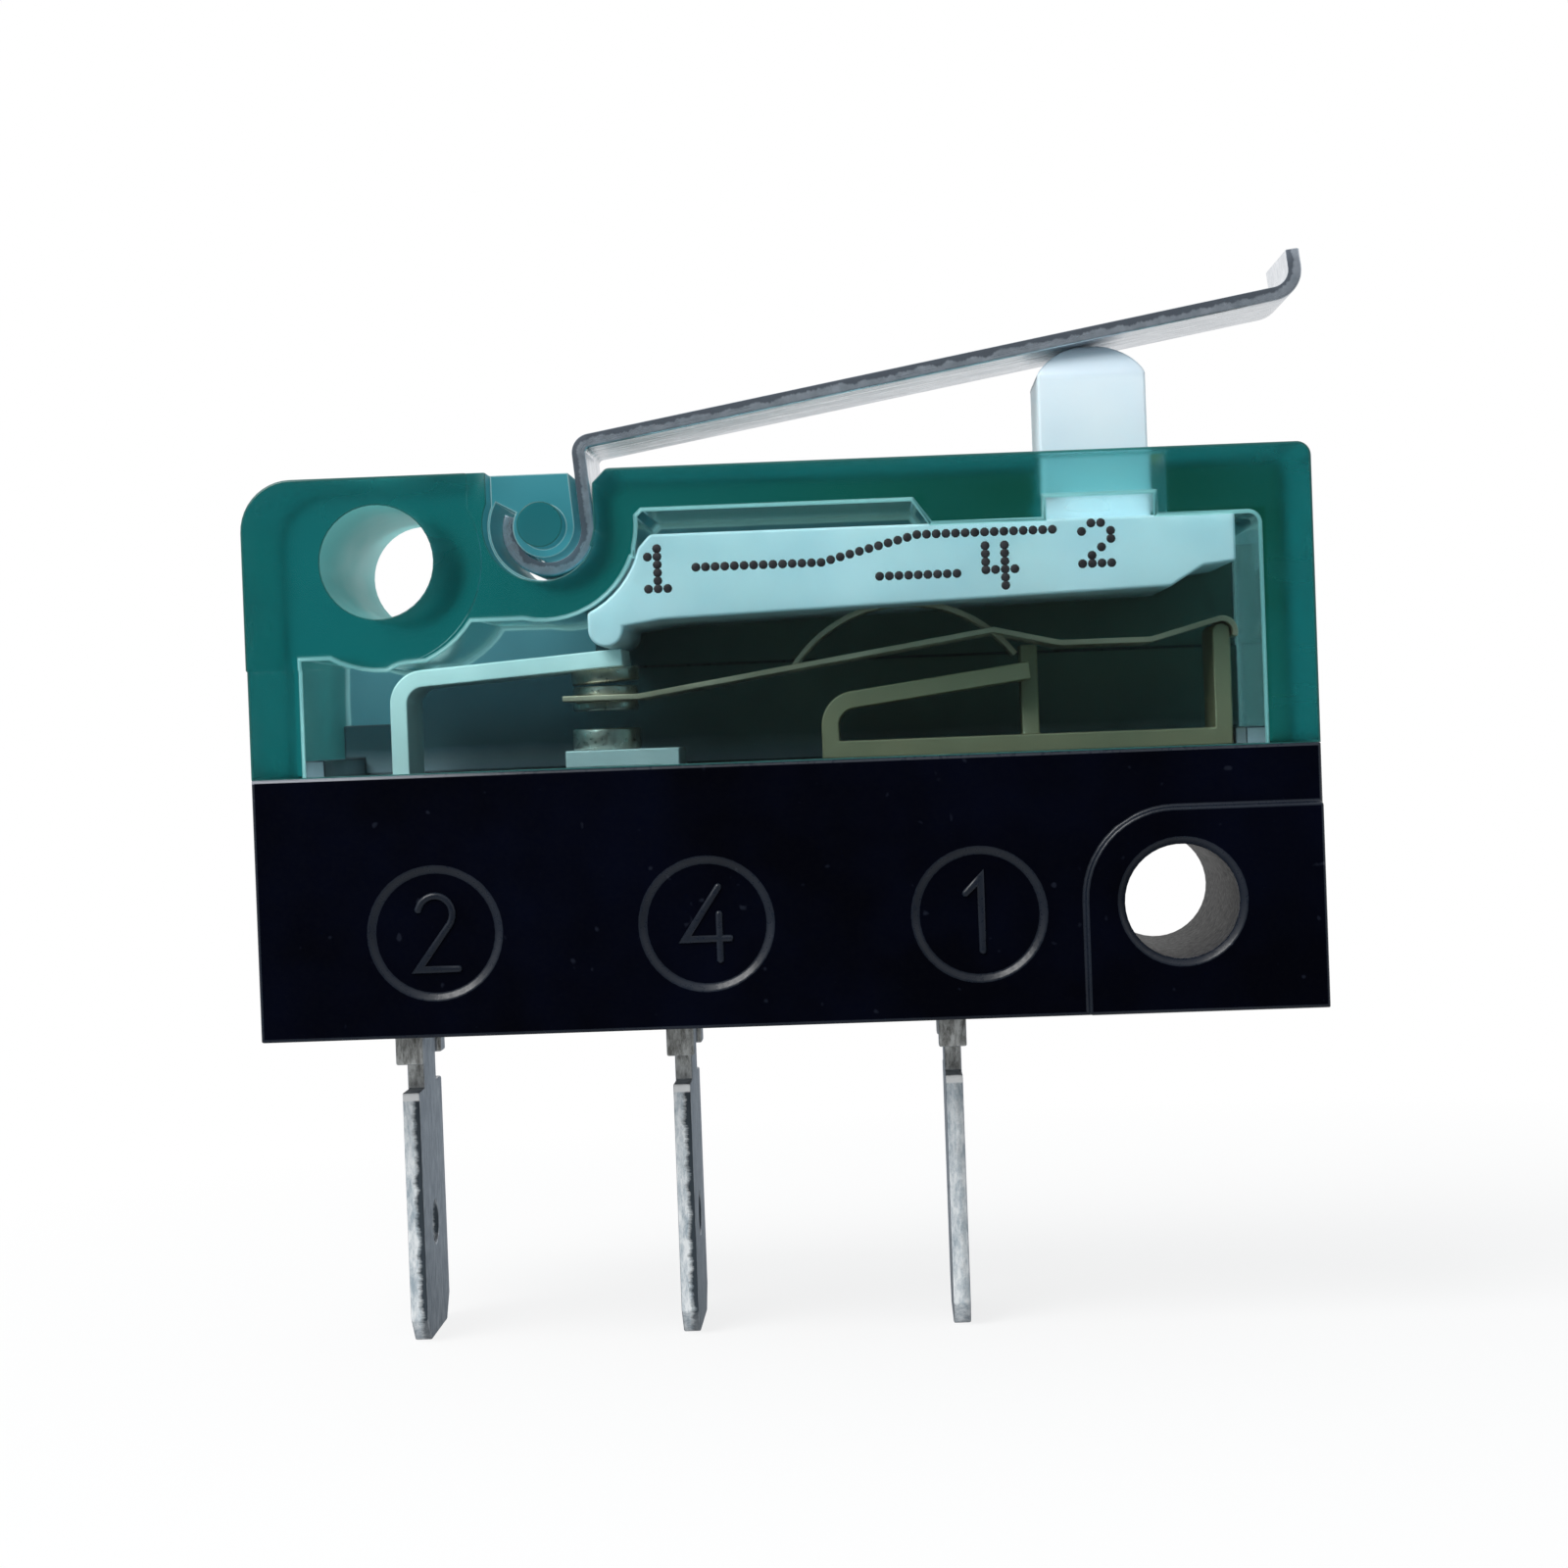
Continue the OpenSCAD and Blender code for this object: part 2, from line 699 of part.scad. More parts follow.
// Terminal 1, run along the floor to the anchor post, with an arm and a tang for the bow spring
module common_terminal() {
    color([0.75, 0.7, 0.5]) {
        terminal_leg(common_x, z_joint + tab_t);
        slab(shank_w) {
            rect([seat_leg_x - tab_t / 2, z_joint], [anchor.x + tab_t / 2, z_joint + tab_t]);
            bent_strip(seat_path, tab_t);
            rect([anchor.x - tab_t / 2, z_joint], [anchor.x + tab_t / 2, anchor.y]);
            translate(anchor) circle(d = tab_t);
        }
        slab(bow_w) rect([tang_x, z_joint], [tang_x + tab_t, tang_top_z]);
    }
}

// Spring blade, hooked over the common post, with a window for the bow spring
module moving_blade() {
    color([0.72, 0.55, 0.28])
    difference() {
        slab(blade_w) bent_strip(concat(blade_curl, blade_run), blade_t);
        slab(blade_window_w)
            rect([blade_window[0], blade_low_z - eps], [blade_window[1], anchor.y + curl_mid + eps]);
        translate([contact_x, 0, blade_low_z])
            cylinder(r = rivet_r + rivet_fit, h = 4 * blade_t, center = true);
    }
}

// Bowed leaf that throws the blade over
module bow_spring() {
    color([0.7, 0.52, 0.25])
    slab(bow_w) bent_strip(arc(bow_mid, bow_r, bow_dir + 90 + bow_half, bow_dir + 90 - bow_half), blade_t);
}

// Rivet with a head on each side of the blade
module moving_contact() {
    color([0.85, 0.83, 0.78])
    translate([contact_x, 0, 0]) {
        translate([0, 0, moving_low_z]) cylinder(r = rivet_r, h = moving_contact_h);
        translate([0, 0, moving_low_z]) cylinder(d = moving_contact_d, h = moving_head_h);
        translate([0, 0, blade_low_z + blade_t / 2]) cylinder(d = moving_contact_d, h = moving_head_h);
    }
}

// Rivet under the arm of terminal 2
module nc_contact() {
    color([0.85, 0.83, 0.78])
    on_nc_arm() {
        translate([0, 0, -nc_contact_h]) cylinder(d = contact_d, h = nc_contact_h);
        translate([0, 0, -nc_contact_h]) cylinder(r = rivet_r, h = nc_contact_h + tab_t);
    }
}

// Rivet on the foot of terminal 4
module no_contact() {
    color([0.85, 0.83, 0.78])
    translate([contact_x, 0, z_joint]) {
        cylinder(r = rivet_r, h = tab_t + no_contact_h);
        translate([0, 0, tab_t]) cylinder(d = contact_d, h = no_contact_h);
    }
}

housing();
base();
plunger();
lever();
nc_terminal();
no_terminal();
common_terminal();
moving_blade();
bow_spring();
moving_contact();
nc_contact();
no_contact();
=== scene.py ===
import math

import bmesh
import bpy
import numpy as np
from mathutils import Matrix, Vector


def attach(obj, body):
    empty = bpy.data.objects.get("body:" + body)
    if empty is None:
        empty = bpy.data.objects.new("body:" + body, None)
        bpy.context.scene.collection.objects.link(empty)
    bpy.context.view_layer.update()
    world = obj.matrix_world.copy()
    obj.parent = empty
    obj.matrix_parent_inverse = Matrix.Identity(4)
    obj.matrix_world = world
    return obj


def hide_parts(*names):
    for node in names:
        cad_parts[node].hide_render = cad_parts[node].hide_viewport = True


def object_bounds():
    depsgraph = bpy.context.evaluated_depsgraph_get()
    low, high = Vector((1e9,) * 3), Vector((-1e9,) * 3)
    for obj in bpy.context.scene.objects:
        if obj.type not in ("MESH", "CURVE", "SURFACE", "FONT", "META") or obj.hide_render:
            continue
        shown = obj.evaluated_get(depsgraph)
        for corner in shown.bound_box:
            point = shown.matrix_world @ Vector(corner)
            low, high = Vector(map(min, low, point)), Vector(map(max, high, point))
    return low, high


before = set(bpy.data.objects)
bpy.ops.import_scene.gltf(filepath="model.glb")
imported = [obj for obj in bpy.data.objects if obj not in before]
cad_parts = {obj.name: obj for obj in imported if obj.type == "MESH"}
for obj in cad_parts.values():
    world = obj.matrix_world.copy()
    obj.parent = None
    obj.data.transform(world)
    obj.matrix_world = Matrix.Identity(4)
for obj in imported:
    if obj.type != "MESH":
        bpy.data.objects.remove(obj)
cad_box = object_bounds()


# Base: the black lower half of the case, one moulding of filled thermoplastic.
# The three terminals are pressed into its slots, and the housing is welded down round its rim.
# Number circles, fixing pads and hole rims come from the mould, and their edges are rubbed paler.

# Sizes are in mm, and MM takes them to Blender's metres.
MM = 0.001
joint_z = 4.3
near_face_y = 4.9
circle_x = np.array([-20.97, -13.32, -5.67])
circle_z = -0.17
circle_r = 1.88
circle_lip = 0.2
hole_rim_r = 2.1
base_outline_edge = 0.09
base_detail_edge = 0.04
upstand_half = 4.3
upstand_foot = 0.01
# The joint glint is a painted highlight: a pale band along the joint on the base's rounded edges.
joint_glint_z = 4.26
joint_glint_half = (0.05, 0.07)
joint_glint_fade_x = (-23.5, -18.0)
# Tones of the inside of the back wall, and the span of its painted highlight along the floor.
wall_tone_x = (-17.0, -11.0)
low_tone_z = (4.5, 6.6)
floor_highlight_z = (joint_z, 5.1)


def read(items, name, width=1, kind=np.float32):
    """One property of all of a mesh's items as an array with a row for each."""
    values = np.empty(len(items) * width, kind)
    items.foreach_get(name, values)
    return values.reshape(-1, width) if width > 1 else values


def clean_mesh(node):
    """A CAD node's loose triangles as one mesh: corners on the same point are merged, triangles that
    shrink to a line are dropped, and neighbours that lie flat are joined into one face."""
    merge = 0.002 * MM
    flat_turn = math.radians(0.4)
    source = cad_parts[node].data
    corners = read(source.vertices, "co", 3)
    triangles = read(source.loops, "vertex_index", 1, np.int32)
    _, first, same = np.unique(np.round(corners / merge), axis=0, return_index=True, return_inverse=True)
    faces = same.reshape(-1)[triangles].reshape(-1, 3)
    whole = (faces != np.roll(faces, 1, axis=1)).all(axis=1)
    mesh = bpy.data.meshes.new(node + "_finished")
    mesh.from_pydata(corners[first], [], faces[whole].tolist())
    work = bmesh.new()
    work.from_mesh(mesh)
    bmesh.ops.dissolve_limit(work, angle_limit=flat_turn, verts=work.verts, edges=work.edges)
    work.to_mesh(mesh)
    work.free()
    return mesh


def keep_flats(piece):
    """Lets each corner take its normal from the larger faces that meet there."""
    flats = piece.modifiers.new("flats", "WEIGHTED_NORMAL")
    flats.weight = 80
    flats.keep_sharp = True


def finished(node, body, widths, steps=2):
    """Stands for a CAD node with its sharp edges rounded: an edge whose two faces turn by more than the
    crease gets the width in mm that widths works out from the edges' middles, or widths itself if it's a
    number. An edge of no width stays sharp."""
    crease = math.radians(32)
    mesh = clean_mesh(node)
    mesh.shade_smooth()
    face = np.repeat(np.arange(len(mesh.polygons)), read(mesh.polygons, "loop_total", 1, np.int32))
    pairs = face[np.argsort(read(mesh.loops, "edge_index", 1, np.int32), kind="stable")].reshape(-1, 2)
    normals = read(mesh.polygons, "normal", 3)
    sharp = (normals[pairs[:, 0]] * normals[pairs[:, 1]]).sum(axis=1) < math.cos(crease)
    middles = read(mesh.vertices, "co", 3)[read(mesh.edges, "vertices", 2, np.int32)].mean(axis=1)
    width = widths(middles / MM) if callable(widths) else np.full(len(middles), widths)
    weight = mesh.attributes.new("bevel_weight_edge", "FLOAT", "EDGE")
    weight.data.foreach_set("value", (sharp * width / width.max()).astype(np.float32))
    crisp = mesh.attributes.new("sharp_edge", "BOOLEAN", "EDGE")
    crisp.data.foreach_set("value", sharp & (width == 0))
    piece = bpy.data.objects.new(node + "_piece", mesh)
    bpy.context.scene.collection.objects.link(piece)
    rounding = piece.modifiers.new("rounding", "BEVEL")
    rounding.width = width.max() * MM
    rounding.segments = steps
    rounding.limit_method = "WEIGHT"
    rounding.use_clamp_overlap = False
    keep_flats(piece)
    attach(piece, body)
    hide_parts(node)
    return piece


def paint(piece, material, where):
    """Adds a material to a piece, gives it to the faces where a test of their middles in mm and their
    normals holds, and returns its number on the piece."""
    number = len(piece.data.materials)
    piece.data.materials.append(material)
    faces = piece.data.polygons
    index = read(faces, "material_index", 1, np.int32)
    index[where(read(faces, "center", 3) / MM, read(faces, "normal", 3))] = number
    faces.foreach_set("material_index", index)
    return number


def plug(tree, node, inputs):
    """Fills a node's inputs, each from another node's socket or with a value."""
    for name, value in inputs.items():
        if isinstance(value, bpy.types.NodeSocket):
            tree.links.new(value, node.inputs[name])
        else:
            node.inputs[name].default_value = value


def add(tree, kind, inputs=None, **settings):
    """Adds a node to a tree, makes its settings and fills its inputs."""
    node = tree.nodes.new(kind)
    for name, value in settings.items():
        setattr(node, name, value)
    plug(tree, node, inputs or {})
    return node


def finish(name):
    """A new material with its tree, its Principled shader and its texture coordinates."""
    material = bpy.data.materials.new(name)
    material.use_nodes = True
    tree = material.node_tree
    return material, tree, tree.nodes["Principled BSDF"], add(tree, "ShaderNodeTexCoord").outputs


def axes(tree, vector):
    """A vector's X, Y and Z."""
    return add(tree, "ShaderNodeSeparateXYZ", {0: vector}).outputs


def noise(tree, place, scale, detail=2.0, rough=0.5, stretch=(1, 1, 1)):
    """Noise on a coordinate, with scale in cells to the unit, stretched along the axes."""
    spread = add(tree, "ShaderNodeMapping", {"Vector": place, "Scale": stretch})
    return add(tree, "ShaderNodeTexNoise", {"Vector": spread.outputs[0], "Scale": scale, "Detail": detail,
                                            "Roughness": rough}).outputs[0]


def levels(tree, value, low, high, out_low=0.0, out_high=1.0):
    """Takes a value from one range to another, held at both ends."""
    return add(tree, "ShaderNodeMapRange", {"Value": value, "From Min": low, "From Max": high,
                                            "To Min": out_low, "To Max": out_high}).outputs[0]


def over_span(tree, place, span, first=0.0, last=1.0):
    """Goes from the first number to the last as a place in metres crosses a span in mm."""
    return levels(tree, place, span[0] * MM, span[1] * MM, first, last)


def mix(tree, share, first, second):
    """A mix of two colours, each a value or a socket."""
    return add(tree, "ShaderNodeMix", {0: share, 6: first, 7: second}, data_type="RGBA").outputs[2]


def math_node(tree, operation, first, second=0.0):
    """One sum on two numbers."""
    return add(tree, "ShaderNodeMath", {0: first, 1: second}, operation=operation).outputs[0]


def bump(tree, height, depth, strength=1.0):
    """A bump normal whose height of 1 stands depth metres proud."""
    return add(tree, "ShaderNodeBump", {"Height": height, "Distance": depth, "Strength": strength}).outputs[0]


def moulded_black(name, dark, pale, speck, gloss, rough, joint_glint=None):
    """Black moulding: fine spark grain, faint cloudy flow marks and a few pale specks of dust. A pale band of
    painted highlight can lie along the joint and fade to the right."""
    material, tree, shader, place = finish(name)
    at = place["Object"]
    cloud = levels(tree, noise(tree, at, scale=260, detail=3, rough=0.6), 0.35, 0.7)
    grain = noise(tree, at, scale=7000, rough=0.6)
    dust = levels(tree, noise(tree, at, scale=2600, detail=1, rough=0.4), 0.74, 0.8)
    colour = mix(tree, dust, mix(tree, cloud, dark, pale), speck)
    # Painted highlight: a pale band along the joint that fades to the right.
    if joint_glint:
        parts = axes(tree, at)
        off = math_node(tree, "ABSOLUTE", math_node(tree, "SUBTRACT", parts["Z"], joint_glint_z * MM))
        glint_band = over_span(tree, off, joint_glint_half, 1, 0)
        fade = over_span(tree, parts["X"], joint_glint_fade_x, 0.8, 0.05)
        colour = mix(tree, math_node(tree, "MULTIPLY", glint_band, fade), colour, joint_glint)
    plug(tree, shader, {
        "Base Color": colour,
        "Roughness": levels(tree, grain, 0.3, 0.7, rough - 0.08, rough + 0.08),
        "Normal": bump(tree, grain, 0.004 * MM),
        "Specular IOR Level": gloss,
    })
    return material


def wavy(tree, place, cloud, size):
    """A place in metres, shifted by up to size in mm either way as a noise goes from 0 to 1."""
    return math_node(tree, "ADD", place, levels(tree, cloud, 0, 1, -size * MM, size * MM))


def back_wall_black():
    """The inside of the back wall: bluish on the left, turning brown towards the springs and bluer near the
    floor, with cloudy edges, and a pale band of painted highlight along the floor itself."""
    material, tree, shader, place = finish("back_wall_black")
    at = place["Object"]
    parts = axes(tree, at)
    cloud = noise(tree, at, scale=420, detail=3, rough=0.6)
    across = over_span(tree, wavy(tree, parts["X"], cloud, size=2), wall_tone_x)
    wall_tone = mix(tree, across, (0.022, 0.06, 0.078, 1), (0.095, 0.145, 0.125, 1))
    low = over_span(tree, wavy(tree, parts["Z"], cloud, size=0.8), low_tone_z, 0.55, 0)
    wall_tone = mix(tree, low, wall_tone, (0.06, 0.1, 0.115, 1))
    # The pale band along the floor is a painted highlight.
    floor_highlight = over_span(tree, wavy(tree, parts["Z"], cloud, size=0.15), floor_highlight_z, 0.75, 0)
    plug(tree, shader, {
        "Base Color": mix(tree, floor_highlight, wall_tone, (0.33, 0.37, 0.43, 1)),
        "Roughness": levels(tree, cloud, 0.3, 0.7, 0.5, 0.7),
        "Specular IOR Level": 0.2,
    })
    return material


def base_edges(middle):
    """Wide edges on the outline and the fixing pad's step, and fine ones round the circles and the hole."""
    x, y, z = middle.T
    off = np.hypot(x[:, None] - circle_x, z[:, None] - circle_z).min(axis=1)
    outer = (np.abs(y) > near_face_y) & (off > circle_r + circle_lip) & (np.hypot(x, z) > hole_rim_r)
    return np.where(outer, base_outline_edge, base_detail_edge)


def sloped_faces(middle, normal):
    """The slopes of rims and steps, which look neither forwards nor sideways."""
    forwards = np.abs(normal[:, 1])
    return (forwards > 0.4) & (forwards < 0.95)


def upstand_faces(middle, normal):
    """What stands up from the base into the housing."""
    return (middle[:, 2] > joint_z + upstand_foot) & (np.abs(middle[:, 1]) < upstand_half)


base = finished("base", "case", base_edges, steps=3)
black = moulded_black("moulded_black", dark=(0.0004, 0.0007, 0.003, 1), pale=(0.0007, 0.0015, 0.0068, 1),
                      speck=(0.008, 0.01, 0.018, 1), gloss=0.035, rough=0.45)
# rubbed_black also carries the painted highlight along the joint.
rubbed_black = moulded_black("rubbed_black", dark=(0.006, 0.0095, 0.017, 1), pale=(0.012, 0.017, 0.029, 1),
                             speck=(0.04, 0.045, 0.06, 1), gloss=0.4, rough=0.32,
                             joint_glint=(0.28, 0.29, 0.33, 1))
base.data.materials.append(black)
base.modifiers["rounding"].material = paint(base, rubbed_black, sloped_faces)
paint(base, back_wall_black(), upstand_faces)


# Numbers 2, 4 and 1: half-round beads moulded with the base on the floors of its three circles.
# The mould is cut by a round-nosed tool, so every stroke has an even width and rounded ends.

circle_floor = 4.83
bead_w = 0.2
bead_h = 0.085
bead_sink = 0.02
number_h = 2.05


def carried(path, profile, swell):
    """A profile carried along a path in XZ: at each point, the mean of the unit normals of the runs
    before and after, lengthened to keep the width round corners, carries the profile's first column,
    and Y carries its second. Each row of swell scales the profile at that point."""
    runs = np.diff(path, axis=0)
    normals = np.stack([-runs[:, 1], runs[:, 0]], axis=1) / np.linalg.norm(runs, axis=1, keepdims=True)
    both = np.vstack([normals[:1], normals]) + np.vstack([normals, normals[-1:]])
    mitres = 2 * both / (both ** 2).sum(axis=1, keepdims=True)
    across = profile[None, :, 0] * swell[:, :1]
    x = path[:, :1] + mitres[:, :1] * across
    y = profile[None, :, 1] * swell[:, -1:]
    z = path[:, 1:] + mitres[:, 1:] * across
    return np.stack([x, y, z], axis=-1)


def tube_faces(rings, around):
    """Quads between rings of points that each run once round, and a cap on both ends."""
    ring = np.arange(rings - 1)[:, None] * around
    here = np.arange(around)[None, :]
    there = (here + 1) % around
    quads = np.stack([ring + here, ring + there, ring + around + there, ring + around + here], axis=-1)
    caps = [list(range(around))[::-1], list(range((rings - 1) * around, rings * around))]
    return quads.reshape(-1, 4).tolist() + caps


def new_piece(name, points, faces, body, slot):
    """A new piece from points in mm, with its faces turned outwards."""
    mesh = bpy.data.meshes.new(name)
    mesh.from_pydata(points * MM, [], faces)
    work = bmesh.new()
    work.from_mesh(mesh)
    bmesh.ops.recalc_face_normals(work, faces=work.faces)
    work.to_mesh(mesh)
    work.free()
    mesh.shade_smooth()
    piece = bpy.data.objects.new(name, mesh)
    bpy.context.scene.collection.objects.link(piece)
    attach(piece, body)
    return piece


def outwards(path):
    """Unit vectors that lead on from a path's two ends: each end less its neighbour, over the length."""
    ahead = path[[0, -1]] - path[[1, -2]]
    return ahead / np.linalg.norm(ahead, axis=1, keepdims=True)


def round_ended(stroke, reach, steps=5):
    """Adds a half-round end to both ends of a stroke: the run goes on by reach, and the bead thins as
    the square root of one minus the square of the share of reach that is run."""
    share = np.sin(np.linspace(0, math.pi / 2, steps + 1))[1:-1, None]
    thin = np.sqrt(1 - share ** 2)
    first, last = outwards(stroke)
    path = np.vstack([stroke[0] + first * reach * share[::-1], stroke, stroke[-1] + last * reach * share])
    return path, np.vstack([thin[::-1], np.ones((len(stroke), 1)), thin])


def number_bead(x, strokes, side):
    """The strokes of one number, whose coordinates run from -1 to 1 over its height, as beads: a half
    ellipse on a sunk foot carried along each. They read from outside the face on that side of Y."""
    half_turn = np.linspace(0, math.pi, 9)
    profile = np.vstack([np.stack([bead_w / 2 * np.cos(half_turn), bead_h * np.sin(half_turn)], axis=1),
                         [[-bead_w / 2, -bead_sink], [bead_w / 2, -bead_sink]]])
    points, faces = np.empty((0, 3)), []
    for stroke in strokes:
        path, swell = round_ended(stroke * number_h / 2, bead_w / 2)
        bead = carried(path * [-side, 1] + [x, circle_z], profile, swell)
        bead[..., 1] = side * (circle_floor + bead[..., 1])
        faces += [[corner + len(points) for corner in face] for face in tube_faces(len(path), len(profile))]
        points = np.vstack([points, bead.reshape(-1, 3)])
    return points, faces


bowl = np.radians(np.linspace(165, -38, 22))
bowl = np.stack([0.48 * np.cos(bowl), 0.52 + 0.5 * np.sin(bowl)], axis=1)
two = [np.vstack([bowl, [[-0.52, -1.0], [0.6, -1.0]]])]
four = [np.array([[0.34, 1.0], [-0.62, -0.42], [0.62, -0.42]]), np.array([[0.34, 0.25], [0.34, -1.0]])]
one = [np.array([[-0.36, 0.58], [0.06, 1.0], [0.06, -1.0]])]
for word, x, strokes in zip(("two", "four", "one"), circle_x, (two, four, one)):
    for side, face in ((-1, "front"), (1, "back")):
        bead = new_piece(f"number_{word}_{face}", *number_bead(x, strokes, side), "case", "black_plastic")
        bead.data.materials.append(rubbed_black)


# Terminals: three strips stamped from brass, tinned, bent where they carry contacts, pressed in the base.
# The tin is mottled and bright on the sheared edges and dull on the flats, and locking lugs hold each strip.

terminal_edge = 0.05
tin_z = (-3.0, -2.8)
shank_z = (-5.0, -4.8)
# The shoulder glint is a painted highlight, and the right shade is painted shade along each tab's right side.
shoulder_glint_z = (-5.17, -5.12)
right_shade_x = (-0.01, 0.13)
right_shade_wander = 0.09


def tinned(name, painted_inside_tone, tab_x, right_shade_share):
    """Tin on a stamped strip: rolled streaks and grey mottling on the flats, which darken at a glance, and
    brighter, coarser mottling on the sheared edges of a tab, with a painted highlight along its shoulders,
    painted shade along its right side and darker mottling on its neck; in the case a duller skin in a tone
    given for each terminal, which is painted light and shade."""
    material, tree, shader, place = finish(name)
    at = place["Object"]
    parts = axes(tree, at)
    facing = axes(tree, place["Normal"])
    edge_face = levels(tree, math_node(tree, "ABSOLUTE", facing["Y"]), 0.5, 0.8)
    side_face = levels(tree, math_node(tree, "ABSOLUTE", facing["X"]), 0.5, 0.8)
    outside = over_span(tree, parts["Z"], tin_z, 1, 0)
    shank = over_span(tree, parts["Z"], shank_z)
    shoulder_glint = over_span(tree, parts["Z"], shoulder_glint_z)
    streak = noise(tree, at, scale=5200, detail=3, rough=0.55, stretch=(1, 1, 0.06))
    mottle = levels(tree, noise(tree, at, scale=5200, detail=5, rough=0.75, stretch=(1, 1, 0.3)), 0.36, 0.62)
    wander = noise(tree, at, scale=2400, detail=5, rough=0.8, stretch=(0.3, 0.3, 1))
    wander = levels(tree, wander, 0.3, 0.7, -right_shade_wander * MM, right_shade_wander * MM)
    across = math_node(tree, "ADD", parts["X"], wander)
    # Painted shade along the right side of the tab's sheared edge.
    right_shade = over_span(tree, across, (tab_x + right_shade_x[0], tab_x + right_shade_x[1]), 0, right_shade_share)
    flat_tin = mix(tree, mottle, (0.3, 0.33, 0.37, 1), (0.52, 0.56, 0.6, 1))
    edge_tin = mix(tree, mottle, (0.42, 0.5, 0.56, 1), (0.95, 0.98, 1.0, 1))
    edge_tin = mix(tree, right_shade, edge_tin, (0.04, 0.055, 0.07, 1))
    # Painted highlight: a white band at the top of the tab's shoulder.
    edge_tin = mix(tree, shoulder_glint, edge_tin, (1, 1, 1, 1))
    # Darker mottled tin on the sheared edges of the neck above the shoulder.
    neck_tin = mix(tree, mottle, (0.16, 0.16, 0.15, 1), (0.62, 0.63, 0.62, 1))
    colour = mix(tree, edge_face, flat_tin, mix(tree, shank, edge_tin, neck_tin))
    ripple = math_node(tree, "MULTIPLY", math_node(tree, "ADD", streak, mottle), outside)
    bare = math_node(tree, "MULTIPLY", outside, levels(tree, edge_face, 0, 1, 1.0, 0.3))
    plug(tree, shader, {
        "Base Color": mix(tree, outside, painted_inside_tone, colour),
        "Roughness": levels(tree, streak, 0.3, 0.7, 0.34, 0.5),
        "Normal": bump(tree, ripple, 0.006 * MM),
        "Metallic": levels(tree, bare, 0, 1, 0.05, 1.0),
        "Specular Tint": mix(tree, side_face, (1, 1, 1, 1), (0.28, 0.32, 0.36, 1)),
    })
    return material


# The inside tones are painted light and shade: very pale on the NC terminal, greyer on the NO terminal and
# dark olive on the common one.
for node, painted_inside_tone, tab_x, right_shade_share in (("nc_terminal", (0.86, 1.0, 1.0, 1), -22.2, 1.0),
                                   ("no_terminal", (0.5, 0.58, 0.6, 1), -14.35, 1.0),
                                   ("common_terminal", (0.25, 0.215, 0.13, 1), -6.5, 0.3)):
    terminal = finished(node, "case", terminal_edge)
    terminal.data.materials.append(tinned(node + "_tin", painted_inside_tone, tab_x, right_shade_share))


# Contacts: three rivets of silver alloy. The fixed ones are headed over in the terminals, and the
# two-faced one in the end of the blade. Their faces are a little pitted by switching.

contact_edge = 0.06


def contact_silver():
    """Silver alloy with a fine pitted face and a warm grey tarnish in patches."""
    material, tree, shader, place = finish("pitted_silver")
    patch = levels(tree, noise(tree, place["Object"], scale=1500, detail=3, rough=0.6), 0.35, 0.7)
    pits = noise(tree, place["Object"], scale=9000)
    plug(tree, shader, {
        "Base Color": mix(tree, patch, (0.86, 0.84, 0.8, 1), (0.55, 0.51, 0.45, 1)),
        "Roughness": levels(tree, pits, 0.3, 0.7, 0.25, 0.45),
        "Normal": bump(tree, pits, 0.008 * MM),
        "Metallic": 1.0,
    })
    return material


silver = contact_silver()
for node, body in (("nc_contact", "case"), ("no_contact", "case"), ("moving_contact", "blade")):
    contact = finished(node, body, contact_edge, steps=3)
    contact.data.materials.append(silver)


# Spring blade and bow spring: leaves cut from rolled bronze strip, hooked over the common post.
# The blade carries the moving contact, and the bow pushes it over its middle so that it snaps.

leaf_edge = 0.03


def rolled_bronze():
    """Rolled spring bronze: streaks along the strip and faint brown heat marks."""
    material, tree, shader, place = finish("rolled_bronze")
    streak = noise(tree, place["Object"], scale=6000, detail=3, stretch=(0.05, 1, 1))
    heat = levels(tree, noise(tree, place["Object"], scale=420), 0.35, 0.65)
    plug(tree, shader, {
        "Base Color": mix(tree, heat, (0.72, 0.58, 0.44, 1), (0.56, 0.44, 0.32, 1)),
        "Roughness": levels(tree, streak, 0.3, 0.7, 0.28, 0.45),
        "Normal": bump(tree, streak, 0.003 * MM),
        "Metallic": 0.5,
    })
    return material


bronze = rolled_bronze()
for node in ("moving_blade", "bow_spring"):
    leaf = finished(node, "blade", leaf_edge)
    leaf.data.materials.append(bronze)


# Plunger: a milky white button with a long foot bar, one moulding of unfilled nylon.
# It hangs in the housing, turns on the nose at the bar's end, and the lever rests on its dome.

plunger_edge = 0.09
# Above this height the dome is painted grey as shade under the lever.
dome_shade_z = (14.9, 15.5)


def milky_white():
    """Milky nylon: light goes a little way in, the skin has faint flow clouds and fine grain, and the top of
    the dome is painted grey as shade under the lever."""
    material, tree, shader, place = finish("milky_white")
    at = place["Object"]
    cloud = levels(tree, noise(tree, at, scale=380), 0.3, 0.7)
    grain = noise(tree, at, scale=5000)
    # Painted shade: the top of the dome is greyed where the lever lies over it.
    dome_shade = over_span(tree, axes(tree, at)["Z"], dome_shade_z, 0, 0.8)
    nylon = mix(tree, cloud, (0.72, 0.85, 0.96, 1), (0.8, 0.91, 1.0, 1))
    plug(tree, shader, {
        "Base Color": mix(tree, dome_shade, nylon, (0.5, 0.62, 0.7, 1)),
        "Roughness": levels(tree, grain, 0.3, 0.7, 0.3, 0.42),
        "Normal": bump(tree, grain, 0.003 * MM),
        "Subsurface Weight": 0.35,
        "Subsurface Radius": (0.8, 1.0, 1.0),
        "Subsurface Scale": 0.6 * MM,
    })
    return material


